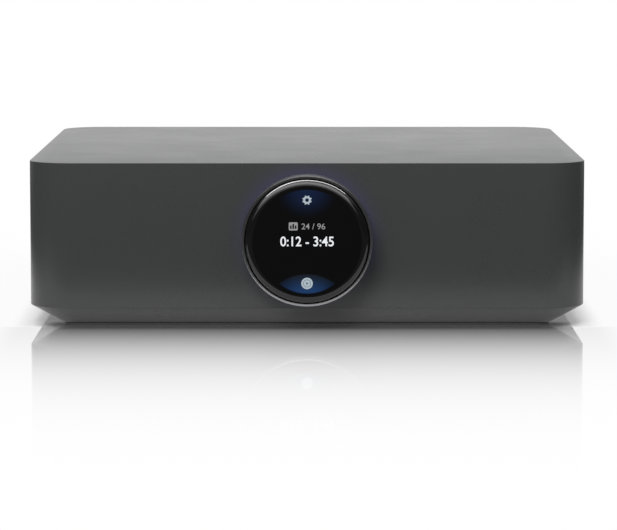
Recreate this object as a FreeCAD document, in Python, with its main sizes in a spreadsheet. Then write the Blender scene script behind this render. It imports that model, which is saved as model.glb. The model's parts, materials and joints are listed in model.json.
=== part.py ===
import FreeCAD, Part
import math
import os
import Sketcher

# A streaming amplifier: a square metal case with a round turning dial and screen on its front.
# Millimetres. X to the right, Y to the back, Z up. The origin is the centre of the foot's underside.

doc = FreeCAD.newDocument("streaming_amplifier")
sheet = doc.addObject("Spreadsheet::Sheet", "Sizes")
nodes = {}


class Length:
    """A length worked out from the sheet, kept as an expression that an object can be bound to."""

    def __init__(self, text):
        self.text = str(text)

    def __str__(self):
        return self.text

    def __float__(self):
        return float(sheet.evalExpression(self.text))

    def __add__(self, other):
        return Length(f"({self} + {other})")

    def __radd__(self, other):
        return Length(f"({other} + {self})")

    def __sub__(self, other):
        return Length(f"({self} - {other})")

    def __rsub__(self, other):
        return Length(f"({other} - {self})")

    def __mul__(self, other):
        return Length(f"({self} * {other})")

    def __rmul__(self, other):
        return Length(f"({other} * {self})")

    def __truediv__(self, other):
        return Length(f"({self} / {other})")

    def __neg__(self):
        return Length(f"(0 - {self})")


def size(alias, number):
    """Put one driving dimension on the sheet and give back the length that names it."""
    size.row += 1
    cell = f"B{size.row}"
    sheet.set(f"A{size.row}", alias.replace("_", " "))
    sheet.set(cell, str(number))
    sheet.setAlias(cell, alias)
    return Length(f"Sizes.{alias}")


size.row = 0


# Case

case_width = size("case_width", 216)
case_depth = size("case_depth", 216)
case_height = size("case_height", 64)
case_corner = size("case_corner", 17)
wall = size("wall", 4)
roof = size("roof", 3.5)
edge_break = size("edge_break", 0.4)
chamfer_rise = size("chamfer_rise", 7)
chamfer_inset = size("chamfer_inset", 12.5)
foot_thickness = size("foot_thickness", 0.8)
foot_margin = size("foot_margin", 0.6)
base_thickness = size("base_thickness", 2)
base_margin = size("base_margin", 2.5)
base_ledge = size("base_ledge", 7)
base_corner = size("base_corner", 4)
base_screw_spread = size("base_screw_spread", 60)
fit_gap = size("fit_gap", 0.1)
base_thread = size("base_thread", 5)
base_screw_grip = size("base_screw_grip", 2)

front_face = -case_depth / 2
back_face = case_depth / 2
rim_top = foot_thickness + chamfer_rise + wall
base_half_width = case_width / 2 - chamfer_inset - base_margin
base_half_depth = case_depth / 2 - chamfer_inset - base_margin
base_top = foot_thickness + base_thickness

# Screws

small_screw = size("small_screw", 1.25)
base_screw = size("base_screw", 1.5)
head_share = size("head_share", 1.85)
socket_share = size("socket_share", 0.9)
socket_depth_share = size("socket_depth_share", 0.7)
thread_floor = size("thread_floor", 1)
thread_spare = size("thread_spare", 0.5)

# Dial

dial_below_middle = size("dial_below_middle", 0.8)
dial_radius = size("dial_radius", 25)
dial_reach = size("dial_reach", 13.8)
dial_gap = size("dial_gap", 0.9)
dial_bevel = size("dial_bevel", 0.35)
dial_edge = size("dial_edge", 0.4)
running_gap = size("running_gap", 0.05)
turning_gap = size("turning_gap", 0.4)
spindle_radius = size("spindle_radius", 19)
spindle_bore = size("spindle_bore", 15)
flange_width = size("flange_width", 66)
flange_gap = size("flange_gap", 1.8)
flange_thickness = size("flange_thickness", 2.5)
bush_wall = size("bush_wall", 2.95)
magnet_width = size("magnet_width", 2)
magnet_gap = size("magnet_gap", 0.6)
web_front = size("web_front", 8.6)
carrier_plate = size("carrier_plate", 1)
carrier_wall = size("carrier_wall", 1.6)
carrier_bore = size("carrier_bore", 9)
screen_thickness = size("screen_thickness", 1.6)
glass_thickness = size("glass_thickness", 4.2)
glass_rounding = size("glass_rounding", 3)
guide_hole = size("guide_hole", 21.5)
guide_lip = size("guide_lip", 2.6)
guide_lip_thickness = size("guide_lip_thickness", 0.5)
guide_rear_gap = size("guide_rear_gap", 1)
board_thickness = size("board_thickness", 1.6)
lamp_board_margin = size("lamp_board_margin", 1)
lamp_size = size("lamp_size", 1.4)
lamp_circle = size("lamp_circle", 20.3)
spindle_screw_side = size("spindle_screw_side", 5)
spindle_screw_rim = size("spindle_screw_rim", 5.5)
carrier_screw_circle = size("carrier_screw_circle", 17)
carrier_screw = size("carrier_screw", 1)
carrier_screw_length = size("carrier_screw_length", 4)
ribbon_width = size("ribbon_width", 12)
ribbon_thickness = size("ribbon_thickness", 0.3)
ribbon_reach = size("ribbon_reach", 4)
ribbon_landing = size("ribbon_landing", 12)

dial_height = (case_height + foot_thickness + chamfer_rise) / 2 - dial_below_middle
flange_height = 2 * (dial_height - rim_top - flange_gap)
spindle_screw_across = flange_width / 2 - spindle_screw_side
spindle_screw_rise = flange_height / 2 - spindle_screw_rim

# Rear panel and what it holds

panel_width = size("panel_width", 176)
panel_height = size("panel_height", 41)
panel_centre = size("panel_centre", 31)
panel_thickness = size("panel_thickness", 2)
panel_ledge = size("panel_ledge", 5)
panel_boss_radius = size("panel_boss_radius", 2.3)
panel_boss_depth = size("panel_boss_depth", 4)
cutout_gap = size("cutout_gap", 0.2)

terminal_left = size("terminal_left", -77)
terminal_pitch = size("terminal_pitch", 19)
terminal_low = size("terminal_low", 21.6)
stud_radius = size("stud_radius", 3)
plug_bore = size("plug_bore", 2)
insulator_radius = size("insulator_radius", 7)
insulator_flange = size("insulator_flange", 3)
insulator_neck = size("insulator_neck", 4.6)
washer_radius = size("washer_radius", 6.2)
washer_thickness = size("washer_thickness", 1.5)
cap_radius = size("cap_radius", 7.6)
cap_length = size("cap_length", 13.5)
cap_end = size("cap_end", 1.4)
cap_bevel = size("cap_bevel", 0.8)
thread_gap = size("thread_gap", 0.1)
grip_groove = size("grip_groove", 0.9)
grip_offset = size("grip_offset", 0.36)
terminal_board_gap = size("terminal_board_gap", 2)
terminal_board_margin = size("terminal_board_margin", 1)
nut_radius = size("nut_radius", 5.25)
nut_thickness = size("nut_thickness", 3)
stud_tail_length = size("stud_tail_length", 1)

phono_left = size("phono_left", -38)
phono_pitch = size("phono_pitch", 15)
phono_low = size("phono_low", 23.5)
phono_rise = size("phono_rise", 14)
phono_radius = size("phono_radius", 4.15)
phono_wall = size("phono_wall", 0.6)
phono_reach = size("phono_reach", 9)
phono_bore = size("phono_bore", 1.75)
phono_block_depth = size("phono_block_depth", 14)
phono_block_margin = size("phono_block_margin", 7)
phono_seat = size("phono_seat", 2)
phono_tail = size("phono_tail", 4)
phono_insert_set_back = size("phono_insert_set_back", 1)
phono_contact_set_back = size("phono_contact_set_back", 3)
phono_contact_wall = size("phono_contact_wall", 0.3)

video_x = size("video_x", 11)
video_width = size("video_width", 15)
video_height = size("video_height", 5.9)
video_depth = size("video_depth", 12)
sheet_metal = size("sheet_metal", 0.4)
video_tongue = size("video_tongue", 1)
video_tongue_width = size("video_tongue_width", 10.8)
video_tongue_set_back = size("video_tongue_set_back", 1.5)
video_root = size("video_root", 3.8)

network_x = size("network_x", 35)
network_width = size("network_width", 16)
network_height = size("network_height", 13.5)
network_depth = size("network_depth", 19)
network_mouth = size("network_mouth", 11.9)
network_mouth_height = size("network_mouth_height", 8)
network_mouth_depth = size("network_mouth_depth", 13)
network_floor = size("network_floor", 3.2)
latch_width = size("latch_width", 5.95)
latch_depth = size("latch_depth", 1.6)
contact_pitch = size("contact_pitch", 1.02)
contact_width = size("contact_width", 0.44)
contact_thickness = size("contact_thickness", 0.5)
contact_set_back = size("contact_set_back", 2)

optical_x = size("optical_x", -8)
optical_size = size("optical_size", 10)
optical_depth = size("optical_depth", 14)
optical_mouth = size("optical_mouth", 6.6)
optical_back = size("optical_back", 3)
shutter_thickness = size("shutter_thickness", 0.8)
shutter_set_back = size("shutter_set_back", 0.8)
shutter_gap = size("shutter_gap", 0.25)

reset_x = size("reset_x", 22.4)
reset_radius = size("reset_radius", 1.5)
reset_proud = size("reset_proud", 1.2)
reset_body = size("reset_body", 6)
reset_body_depth = size("reset_body_depth", 5)
reset_set_back = size("reset_set_back", 3)
reset_bore = size("reset_bore", 3.5)
reset_tail = size("reset_tail", 2)

inlet_x = size("inlet_x", 66)
inlet_width = size("inlet_width", 25)
inlet_height = size("inlet_height", 17)
inlet_flange = size("inlet_flange", 2)
inlet_flange_margin = size("inlet_flange_margin", 2)
inlet_depth = size("inlet_depth", 18)
inlet_mouth_width = size("inlet_mouth_width", 17)
inlet_mouth_height = size("inlet_mouth_height", 9.6)
inlet_mouth_depth = size("inlet_mouth_depth", 13)
pin_radius = size("pin_radius", 1.2)
pin_pitch = size("pin_pitch", 8.6)
pin_length = size("pin_length", 10)
pin_tail = size("pin_tail", 3)

# Boards and what stands on them

standoff_height = size("standoff_height", 11.6)
standoff_radius = size("standoff_radius", 3)
standoff_thread = size("standoff_thread", 7)
board_screw_length = size("board_screw_length", 6)
board_edge = size("board_edge", 1.5)
board_side_gap = size("board_side_gap", 2)
board_front = size("board_front", -74)
board_back_gap = size("board_back_gap", 6.5)
power_board_width = size("power_board_width", 36)
board_split = size("board_split", 3)
link_overlap = size("link_overlap", 8)
link_depth = size("link_depth", 16)
link_height = size("link_height", 7)
sink_margin = size("sink_margin", 8)
sink_width = size("sink_width", 56)
sink_front = size("sink_front", -46)
sink_depth = size("sink_depth", 84)
sink_base = size("sink_base", 4)
sink_height = size("sink_height", 32)
fin_thickness = size("fin_thickness", 1.6)
chip_side = size("chip_side", 12)
chip_thickness = size("chip_thickness", 2.4)
coil_radius = size("coil_radius", 6.5)
coil_height = size("coil_height", 12)
coil_core = size("coil_core", 3.575)
coil_gap = size("coil_gap", 3)
coil_flange = size("coil_flange", 1)
core_width = size("core_width", 28)
core_depth = size("core_depth", 34)
core_height = size("core_height", 26)
core_waist = size("core_waist", 18.7)
winding_width = size("winding_width", 22.4)
winding_margin = size("winding_margin", 3)
transformer_y = size("transformer_y", 30)
store_radius = size("store_radius", 10)
store_height = size("store_height", 34)
store_gap = size("store_gap", 2)
store_groove_height = size("store_groove_height", 3)
store_groove_width = size("store_groove_width", 1.2)
store_groove_depth = size("store_groove_depth", 0.5)
choke_radius = size("choke_radius", 11)
choke_wire = size("choke_wire", 4)
choke_gap = size("choke_gap", 4)
cover_side = size("cover_side", 26)
cover_height = size("cover_height", 3)
cover_shift = size("cover_shift", 1.5)
cover_front = size("cover_front", -30)
cover_gap = size("cover_gap", 10)
radio_width = size("radio_width", 18.2)
radio_depth = size("radio_depth", 20.8)
antenna_width = size("antenna_width", 16)
antenna_height = size("antenna_height", 9)
antenna_thickness = size("antenna_thickness", 0.8)
antenna_rise = size("antenna_rise", 7.2)

# Counts, start angles, how far a cutting shape runs past what it cuts, and when two numbers are the same

OVERRUN = 1
LAMPS = 12
LAMP_ANGLE = 15
CARRIER_SCREWS = 4
CARRIER_SCREW_ANGLE = 45
GRIP_GROOVES = 16
NETWORK_CONTACTS = 8
SINK_FINS = 9
OUTPUT_COILS = 4
STORES = 2
SAME = 1e-6

board_bottom = base_top + standoff_height
board_top = board_bottom + board_thickness
board_back = back_face - panel_thickness - board_back_gap
board_inset = standoff_radius + board_edge
power_board_right = base_half_width - base_ledge - board_side_gap
power_board_left = power_board_right - power_board_width
main_board_left = -power_board_right
main_board_right = power_board_left - board_split
sink_left = main_board_left + sink_margin
link_left = main_board_right - link_overlap
cover_middle = (sink_left + sink_width + link_left) / 2 - cover_shift
cover_left = cover_middle - cover_side / 2
doc.recompute()


# How the pieces are made


def bind(item, **lengths):
    """Bind an object's properties to lengths."""
    for name, length in lengths.items():
        item.setExpression(name, str(length))
    return item


def place(item, x, y, z):
    """Bind an object's position to lengths."""
    item.setExpression("Placement.Base.x", str(x))
    item.setExpression("Placement.Base.y", str(y))
    item.setExpression("Placement.Base.z", str(z))
    return item


def node(name, item):
    """Name a finished piece, which gives it its own file."""
    item.Label = name
    nodes[name] = item
    return item


TURNS = {
    "X": FreeCAD.Rotation(FreeCAD.Vector(0, 1, 0), 90),
    "Y": FreeCAD.Rotation(FreeCAD.Vector(1, 0, 0), -90),
    "Z": FreeCAD.Rotation(),
}


def block(name, x, y, z):
    """A box between the low and the high length of each axis."""
    item = doc.addObject("Part::Box", name)
    bind(item, Length=Length(x[1]) - x[0], Width=Length(y[1]) - y[0], Height=Length(z[1]) - z[0])
    return place(item, x[0], y[0], z[0])


def centred(middle, length):
    """The low and high lengths of a span about its middle."""
    return (middle - length / 2, middle + length / 2)


def rod(name, radius, low, high, axis, x=0, y=0, z=0):
    """A round bar along an axis, from the low to the high length on it."""
    item = doc.addObject("Part::Cylinder", name)
    item.Placement = FreeCAD.Placement(FreeCAD.Vector(), TURNS[axis])
    bind(item, Radius=radius, Height=Length(high) - low)
    start = {"X": (low, y, z), "Y": (x, low, z), "Z": (x, y, low)}[axis]
    return place(item, *start)


def cone(name, low_radius, high_radius, low, high, axis, x=0, y=0, z=0):
    """A round bar that widens or narrows along an axis."""
    item = doc.addObject("Part::Cone", name)
    item.Placement = FreeCAD.Placement(FreeCAD.Vector(), TURNS[axis])
    bind(item, Radius1=low_radius, Radius2=high_radius, Height=Length(high) - low)
    start = {"X": (low, y, z), "Y": (x, low, z), "Z": (x, y, low)}[axis]
    return place(item, *start)


def hexagon(name, radius, low, high, axis, x=0, y=0, z=0):
    """A six-sided bar along an axis."""
    item = doc.addObject("Part::Prism", name)
    item.Polygon = 6
    item.Placement = FreeCAD.Placement(FreeCAD.Vector(), TURNS[axis])
    bind(item, Circumradius=radius, Height=Length(high) - low)
    start = {"X": (low, y, z), "Y": (x, low, z), "Z": (x, y, low)}[axis]
    return place(item, *start)


def fuse(name, *parts):
    item = doc.addObject("Part::MultiFuse", name)
    item.Shapes = list(parts)
    item.Refine = True
    return item


def cut(name, base, *tools):
    item = doc.addObject("Part::Cut", name)
    item.Base = base
    item.Tool = tools[0] if len(tools) == 1 else fuse(name + "_tools", *tools)
    return item


def group(name, parts):
    """Separate solids of one kind, kept together."""
    item = doc.addObject("Part::Compound", name)
    item.Links = list(parts)
    return item


def tube(name, outer, inner, low, high, axis, x=0, y=0, z=0):
    outside = rod(name + "_outside", outer, low, high, axis, x, y, z)
    inside = rod(name + "_inside", inner, Length(low) - OVERRUN, Length(high) + OVERRUN, axis, x, y, z)
    return cut(name, outside, inside)


def new_body(name, x=0, y=0, z=0):
    body = doc.addObject("PartDesign::Body", name)
    return place(body, x, y, z)


def sketch_on(body, role, offset=0):
    """A sketch parallel to one of the body's own planes."""
    sketch = body.newObject("Sketcher::SketchObject", body.Name + "_sketch")
    plane = next(item for item in body.Origin.OriginFeatures if item.Role == role)
    sketch.AttachmentSupport = [(plane, "")]
    sketch.MapMode = "FlatFace"
    sketch.setExpression("AttachmentOffset.Base.z", str(offset))
    return sketch


def bind_constraint(sketch, constraint, length):
    index = sketch.addConstraint(constraint)
    sketch.setExpression(f"Constraints[{index}]", str(length))


def pin_point(sketch, edge, end, across, up):
    """Hold one point of a sketch at a distance from the sketch's origin."""
    for kind, length in (("DistanceX", across), ("DistanceY", up)):
        number = float(Length(length))
        bind_constraint(sketch, Sketcher.Constraint(kind, -1, 1, edge, end, number), length)


def draw_loop(sketch, points):
    """A closed outline of straight lines."""
    first = sketch.GeometryCount
    count = len(points)
    corners = [FreeCAD.Vector(float(Length(a)), float(Length(b)), 0) for a, b in points]
    for number in range(count):
        line = Part.LineSegment(corners[number], corners[(number + 1) % count])
        sketch.addGeometry(line, False)
    for number in range(count):
        following = first + (number + 1) % count
        sketch.addConstraint(Sketcher.Constraint("Coincident", first + number, 2, following, 1))
        pin_point(sketch, first + number, 1, *points[number])


def draw_rectangle(sketch, across, up):
    low, high = across
    bottom, top = up
    draw_loop(sketch, [(low, bottom), (high, bottom), (high, top), (low, top)])


def draw_rounded(sketch, across, up, radius):
    """A rectangle whose corners are arcs that meet its sides smoothly."""
    left, right = across
    bottom, top = up
    sides = [((left + radius, bottom), (right - radius, bottom)),
             ((right, bottom + radius), (right, top - radius)),
             ((right - radius, top), (left + radius, top)),
             ((left, top - radius), (left, bottom + radius))]
    centres = [(right - radius, bottom + radius), (right - radius, top - radius),
               (left + radius, top - radius), (left + radius, bottom + radius)]
    first = sketch.GeometryCount
    for number, (start, end) in enumerate(sides):
        corners = [FreeCAD.Vector(float(a), float(b), 0) for a, b in (start, end)]
        sketch.addGeometry(Part.LineSegment(*corners), False)
        middle = FreeCAD.Vector(float(centres[number][0]), float(centres[number][1]), 0)
        circle = Part.Circle(middle, FreeCAD.Vector(0, 0, 1), float(radius))
        angle = math.radians(90 * number - 90)
        sketch.addGeometry(Part.ArcOfCircle(circle, angle, angle + math.pi / 2), False)
    for number, (start, end) in enumerate(sides):
        line = first + 2 * number
        arc = line + 1
        following = first + (2 * number + 2) % 8
        sketch.addConstraint(Sketcher.Constraint("Tangent", line, 2, arc, 1))
        sketch.addConstraint(Sketcher.Constraint("Coincident", arc, 2, following, 1))
        pin_point(sketch, line, 1, *start)
        pin_point(sketch, line, 2, *end)


def draw_circle(sketch, across, up, radius):
    centre = FreeCAD.Vector(float(Length(across)), float(Length(up)), 0)
    number = float(Length(radius))
    edge = sketch.addGeometry(Part.Circle(centre, FreeCAD.Vector(0, 0, 1), number), False)
    pin_point(sketch, edge, 3, across, up)
    bind_constraint(sketch, Sketcher.Constraint("Radius", edge, number), radius)


def pad(body, sketch, length, reverse=False):
    feature = body.newObject("PartDesign::Pad", body.Name + "_pad")
    feature.Profile = sketch
    feature.Reversed = reverse
    bind(feature, Length=length)
    doc.recompute()
    return feature


def pocket(body, sketch, length, reverse=False):
    before = body.Shape.Volume
    feature = body.newObject("PartDesign::Pocket", body.Name + "_pocket")
    feature.Profile = sketch
    feature.Reversed = reverse
    bind(feature, Length=length)
    doc.recompute()
    if body.Shape.Volume > before - SAME:
        raise RuntimeError(f"{feature.Name} cut nothing")
    return feature


def edge_names(feature, wanted):
    """The names of a feature's edges that pass a test on their box."""
    edges = feature.Shape.Edges
    return [f"Edge{number + 1}" for number, edge in enumerate(edges) if wanted(edge.BoundBox)]


def rounded(body, feature, wanted, radius):
    fillet = body.newObject("PartDesign::Fillet", body.Name + "_rounding")
    fillet.Base = (feature, edge_names(feature, wanted))
    bind(fillet, Radius=radius)
    doc.recompute()
    return fillet


def upright(box):
    return box.ZLength > SAME and box.XLength < SAME and box.YLength < SAME


def lies_at(height):
    level = float(height)
    return lambda box: abs(box.ZMin - level) < SAME and abs(box.ZMax - level) < SAME


def turned(name, points, y, z, x=0):
    """A round piece about an axis along Y. A point is a distance along Y and a radius."""
    body = new_body(name, x, y, z)
    sketch = sketch_on(body, "YZ_Plane")
    draw_loop(sketch, points)
    feature = body.newObject("PartDesign::Revolution", name + "_turning")
    feature.Profile = sketch
    feature.ReferenceAxis = (sketch, ["H_Axis"])
    feature.Angle = 360
    doc.recompute()
    return body


def around(count, circle, start=0):
    """Points spaced evenly on a circle, as lengths across and up from its centre."""
    points = []
    for number in range(count):
        angle = math.radians(start + 360 * number / count)
        points.append((circle * round(math.cos(angle), 9), circle * round(math.sin(angle), 9)))
    return points


def screw(name, radius, start, length, axis, direction, x=0, y=0, z=0, sunk=False):
    """A socket screw whose head ends at start and whose shank points in the given direction."""
    head_radius = radius * head_share
    head_depth = head_radius - radius if sunk else radius
    under_head = start + direction * head_depth
    tip = under_head + direction * length
    low, high = (start, under_head) if direction > 0 else (under_head, start)
    if sunk:
        radii = (head_radius, radius) if direction > 0 else (radius, head_radius)
        head = cone(name + "_head", *radii, low, high, axis, x, y, z)
    else:
        head = rod(name + "_head", head_radius, low, high, axis, x, y, z)
    shank_span = (under_head, tip) if direction > 0 else (tip, under_head)
    shank = rod(name + "_shank", radius, *shank_span, axis, x, y, z)
    socket_depth = head_depth * socket_depth_share
    socket_end = start + direction * socket_depth
    outside = start - direction * OVERRUN
    socket_span = (outside, socket_end) if direction > 0 else (socket_end, outside)
    socket = hexagon(name + "_socket", radius * socket_share, *socket_span, axis, x, y, z)
    return cut(name, fuse(name + "_solid", head, shank), socket)


# Case, base and foot


def base_screw_places():
    across = base_half_width - base_ledge / 2
    along = base_half_depth - base_ledge / 2
    spread = base_screw_spread
    places = [(sign * spread, side * along) for sign in (-1, 1) for side in (-1, 1)]
    places += [(side * across, sign * spread) for sign in (-1, 1) for side in (-1, 1)]
    return places


def panel_screw_places():
    across = panel_width / 2 - panel_ledge / 2
    rise = panel_height / 2 - panel_ledge / 2
    return [(side * across, panel_centre + level * rise) for side in (-1, 0, 1) for level in (-1, 1)]


panel_screw_length = panel_thickness + panel_boss_depth


def spindle_screw_places():
    """Across and up from the dial's axis."""
    return [(side * spindle_screw_across, level * spindle_screw_rise)
            for side in (-1, 1) for level in (-1, 1)]


def make_top_case():
    body = new_body("top_case")
    outline = sketch_on(body, "XY_Plane", foot_thickness)
    draw_rectangle(outline, centred(Length(0), case_width), centred(Length(0), case_depth))
    solid = pad(body, outline, case_height - foot_thickness)
    solid = rounded(body, solid, upright, case_corner)
    solid = rounded(body, solid, lies_at(case_height), edge_break)
    chamfer = body.newObject("PartDesign::Chamfer", "top_case_chamfer")
    chamfer.Base = (solid, edge_names(solid, lies_at(foot_thickness)))
    chamfer.ChamferType = "Two distances"
    bind(chamfer, Size=chamfer_rise, Size2=chamfer_inset)
    doc.recompute()

    hollow = sketch_on(body, "XY_Plane", rim_top)
    hollow_width = case_width - 2 * wall
    hollow_depth = case_depth - 2 * wall
    inner_corner = case_corner - wall
    draw_rounded(hollow, centred(Length(0), hollow_width), centred(Length(0), hollow_depth), inner_corner)
    pocket(body, hollow, case_height - roof - rim_top, True)

    opening = sketch_on(body, "XY_Plane", foot_thickness)
    half_width = base_half_width - base_ledge
    half_depth = base_half_depth - base_ledge
    draw_rectangle(opening, (-half_width, half_width), (-half_depth, half_depth))
    pocket(body, opening, rim_top - foot_thickness, True)
    seat = sketch_on(body, "XY_Plane", foot_thickness)
    draw_rectangle(seat, (-base_half_width, base_half_width), (-base_half_depth, base_half_depth))
    pocket(body, seat, base_thickness, True)

    dial_hole = sketch_on(body, "XZ_Plane", -front_face)
    draw_circle(dial_hole, 0, dial_height, guide_hole)
    pocket(body, dial_hole, wall)

    bosses = sketch_on(body, "XZ_Plane", wall - back_face)
    for across, up in panel_screw_places():
        draw_circle(bosses, across, up, panel_boss_radius)
    pad(body, bosses, panel_boss_depth)
    panel_seat = sketch_on(body, "XZ_Plane", -back_face)
    draw_rectangle(panel_seat, centred(Length(0), panel_width), centred(panel_centre, panel_height))
    pocket(body, panel_seat, panel_thickness, True)
    window = sketch_on(body, "XZ_Plane", -back_face)
    window_width = panel_width - 2 * panel_ledge
    window_height = panel_height - 2 * panel_ledge
    draw_rectangle(window, centred(Length(0), window_width), centred(panel_centre, window_height))
    pocket(body, window, wall, True)

    panel_threads = sketch_on(body, "XZ_Plane", -back_face)
    for across, up in panel_screw_places():
        draw_circle(panel_threads, across, up, small_screw)
    pocket(body, panel_threads, panel_screw_length, True)
    base_threads = sketch_on(body, "XY_Plane", foot_thickness)
    for across, along in base_screw_places():
        draw_circle(base_threads, across, along, base_screw)
    pocket(body, base_threads, base_thickness + base_thread, True)
    dial_threads = sketch_on(body, "XZ_Plane", -front_face - wall)
    for across, up in spindle_screw_places():
        draw_circle(dial_threads, across, dial_height + up, small_screw)
    pocket(body, dial_threads, wall - thread_floor, True)
    node("top_case", body)


def make_base():
    body = new_body("base_plate")
    outline = sketch_on(body, "XY_Plane", foot_thickness)
    half_width = base_half_width - fit_gap
    half_depth = base_half_depth - fit_gap
    draw_rectangle(outline, (-half_width, half_width), (-half_depth, half_depth))
    pad(body, outline, base_thickness)
    holes = sketch_on(body, "XY_Plane", foot_thickness)
    for across, along in base_screw_places():
        draw_circle(holes, across, along, base_screw + fit_gap)
    solid = pocket(body, holes, base_thickness, True)
    chamfer = body.newObject("PartDesign::Chamfer", "base_plate_sinks")
    hole_width = 2 * float(base_screw + fit_gap)
    rim = lies_at(foot_thickness)
    chamfer.Base = (solid, edge_names(solid, lambda box: rim(box) and abs(box.XLength - hole_width) < SAME))
    bind(chamfer, Size=base_screw * head_share - base_screw)
    node("base_plate", body)

    screws = []
    for number, (across, along) in enumerate(base_screw_places()):
        screws.append(screw(f"base_screw_{number}", base_screw, foot_thickness,
                            base_thickness + base_screw_grip, "Z", 1, across, along, sunk=True))
    node("base_screws", group("base_screws", screws))

    pad_body = new_body("foot_pad")
    outline = sketch_on(pad_body, "XY_Plane")
    half_width = case_width / 2 - chamfer_inset - foot_margin
    half_depth = case_depth / 2 - chamfer_inset - foot_margin
    draw_rectangle(outline, (-half_width, half_width), (-half_depth, half_depth))
    solid = pad(pad_body, outline, foot_thickness)
    rounded(pad_body, solid, upright, base_corner)
    node("foot_pad", pad_body)


# Dial and screen


def outward(distance):
    """A distance out of the front face, which points along -Y."""
    return -Length(distance)


def make_dial():
    bush_inner = spindle_radius + running_gap
    ring_bore = bush_inner + bush_wall
    glass_radius = dial_radius - dial_bevel - dial_edge - turning_gap
    ring_front_bore = glass_radius + turning_gap
    bevel_base = dial_reach - dial_bevel
    carrier_back = web_front + turning_gap
    screen_back = carrier_back + carrier_plate
    glass_back = screen_back + screen_thickness

    node("dial_ring", turned("dial_ring", [
        (outward(dial_gap), ring_bore),
        (outward(dial_gap), dial_radius - dial_edge),
        (outward(dial_gap + dial_edge), dial_radius),
        (outward(dial_reach - dial_edge), dial_radius),
        (outward(dial_reach), dial_radius - dial_edge),
        (outward(bevel_base), ring_front_bore),
        (outward(web_front), ring_front_bore),
        (outward(web_front), ring_bore),
    ], front_face, dial_height))
    bush_back = dial_gap + magnet_width
    node("dial_bush", tube("dial_bush", ring_bore, bush_inner, front_face - web_front,
                           front_face - bush_back, "Y", z=dial_height))
    magnet_inner = bush_inner + magnet_gap
    node("magnet_ring", tube("magnet_ring", ring_bore, magnet_inner, front_face - bush_back,
                             front_face - dial_gap, "Y", z=dial_height))

    lamp_board_back = wall + board_thickness
    flange_back = lamp_board_back + flange_thickness
    spindle = turned("dial_spindle", [
        (lamp_board_back, spindle_bore),
        (lamp_board_back, spindle_radius),
        (outward(carrier_back), spindle_radius),
        (outward(carrier_back), spindle_bore),
    ], front_face, dial_height)
    flange = sketch_on(spindle, "XZ_Plane", -lamp_board_back)
    draw_rectangle(flange, centred(Length(0), flange_width), centred(Length(0), flange_height))
    draw_circle(flange, 0, 0, spindle_bore)
    for across, up in spindle_screw_places():
        draw_circle(flange, across, up, small_screw + fit_gap)
    pad(spindle, flange, flange_thickness, True)
    threads = sketch_on(spindle, "XZ_Plane", carrier_back)
    for across, up in around(CARRIER_SCREWS, carrier_screw_circle, CARRIER_SCREW_ANGLE):
        draw_circle(threads, across, up, carrier_screw)
    pocket(spindle, threads, carrier_screw_length + thread_floor)
    node("dial_spindle", spindle)

    screws = []
    for number, (across, up) in enumerate(spindle_screw_places()):
        start = front_face + flange_back + small_screw
        name = f"spindle_screw_{number}"
        length = flange_thickness + board_thickness + wall - thread_floor - thread_spare
        screws.append(screw(name, small_screw, start, length, "Y", -1, x=across, z=dial_height + up))
    node("spindle_screws", group("spindle_screws", screws))

    guide_outer = guide_hole - fit_gap
    guide_inner = spindle_radius + fit_gap
    node("light_guide", turned("light_guide", [
        (outward(guide_lip_thickness), guide_inner),
        (outward(guide_lip_thickness), guide_outer + guide_lip),
        (0, guide_outer + guide_lip),
        (0, guide_outer),
        (wall - guide_rear_gap, guide_outer),
        (wall - guide_rear_gap, guide_inner),
    ], front_face, dial_height))
    margin = 2 * lamp_board_margin
    lamp_board = block("lamp_board_blank", centred(Length(0), flange_width - margin),
                       (front_face + wall, front_face + lamp_board_back),
                       centred(dial_height, flange_height - margin))
    hole_span = (front_face + wall - OVERRUN, front_face + lamp_board_back + OVERRUN)
    holes = [rod("lamp_board_middle", guide_inner, *hole_span, "Y", z=dial_height)]
    for number, (across, up) in enumerate(spindle_screw_places()):
        holes.append(rod(f"lamp_board_hole_{number}", small_screw + fit_gap, *hole_span, "Y",
                         across, 0, dial_height + up))
    node("lamp_board", cut("lamp_board", lamp_board, *holes))
    lamps = []
    for number, (across, up) in enumerate(around(LAMPS, lamp_circle, LAMP_ANGLE)):
        lamps.append(block(f"lamp_{number}", centred(across, lamp_size),
                           (front_face + wall - guide_rear_gap + fit_gap, front_face + wall),
                           centred(dial_height + up, lamp_size)))
    node("dial_lamps", group("dial_lamps", lamps))

    carrier = turned("screen_carrier", [
        (outward(carrier_back), carrier_bore),
        (outward(carrier_back), glass_radius),
        (outward(glass_back), glass_radius),
        (outward(glass_back), glass_radius - carrier_wall),
        (outward(screen_back), glass_radius - carrier_wall),
        (outward(screen_back), carrier_bore),
    ], front_face, dial_height)
    holes = sketch_on(carrier, "XZ_Plane", screen_back)
    for across, up in around(CARRIER_SCREWS, carrier_screw_circle, CARRIER_SCREW_ANGLE):
        draw_circle(holes, across, up, carrier_screw + fit_gap)
    solid = pocket(carrier, holes, carrier_plate)
    sinks = carrier.newObject("PartDesign::Chamfer", "screen_carrier_sinks")
    level = -float(screen_back)
    width = 2 * float(carrier_screw + fit_gap)
    sinks.Base = (solid, edge_names(solid, lambda box: box.YLength < SAME and abs(box.YMin - level) < SAME
                                    and abs(box.XLength - width) < SAME))
    bind(sinks, Size=carrier_screw * head_share - carrier_screw)
    node("screen_carrier", carrier)
    screws = []
    for number, (across, up) in enumerate(around(CARRIER_SCREWS, carrier_screw_circle, CARRIER_SCREW_ANGLE)):
        name = f"carrier_screw_{number}"
        start = front_face - screen_back
        screws.append(screw(name, carrier_screw, start, carrier_screw_length, "Y", 1, x=across,
                            z=dial_height + up, sunk=True))
    node("carrier_screws", group("carrier_screws", screws))

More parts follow.
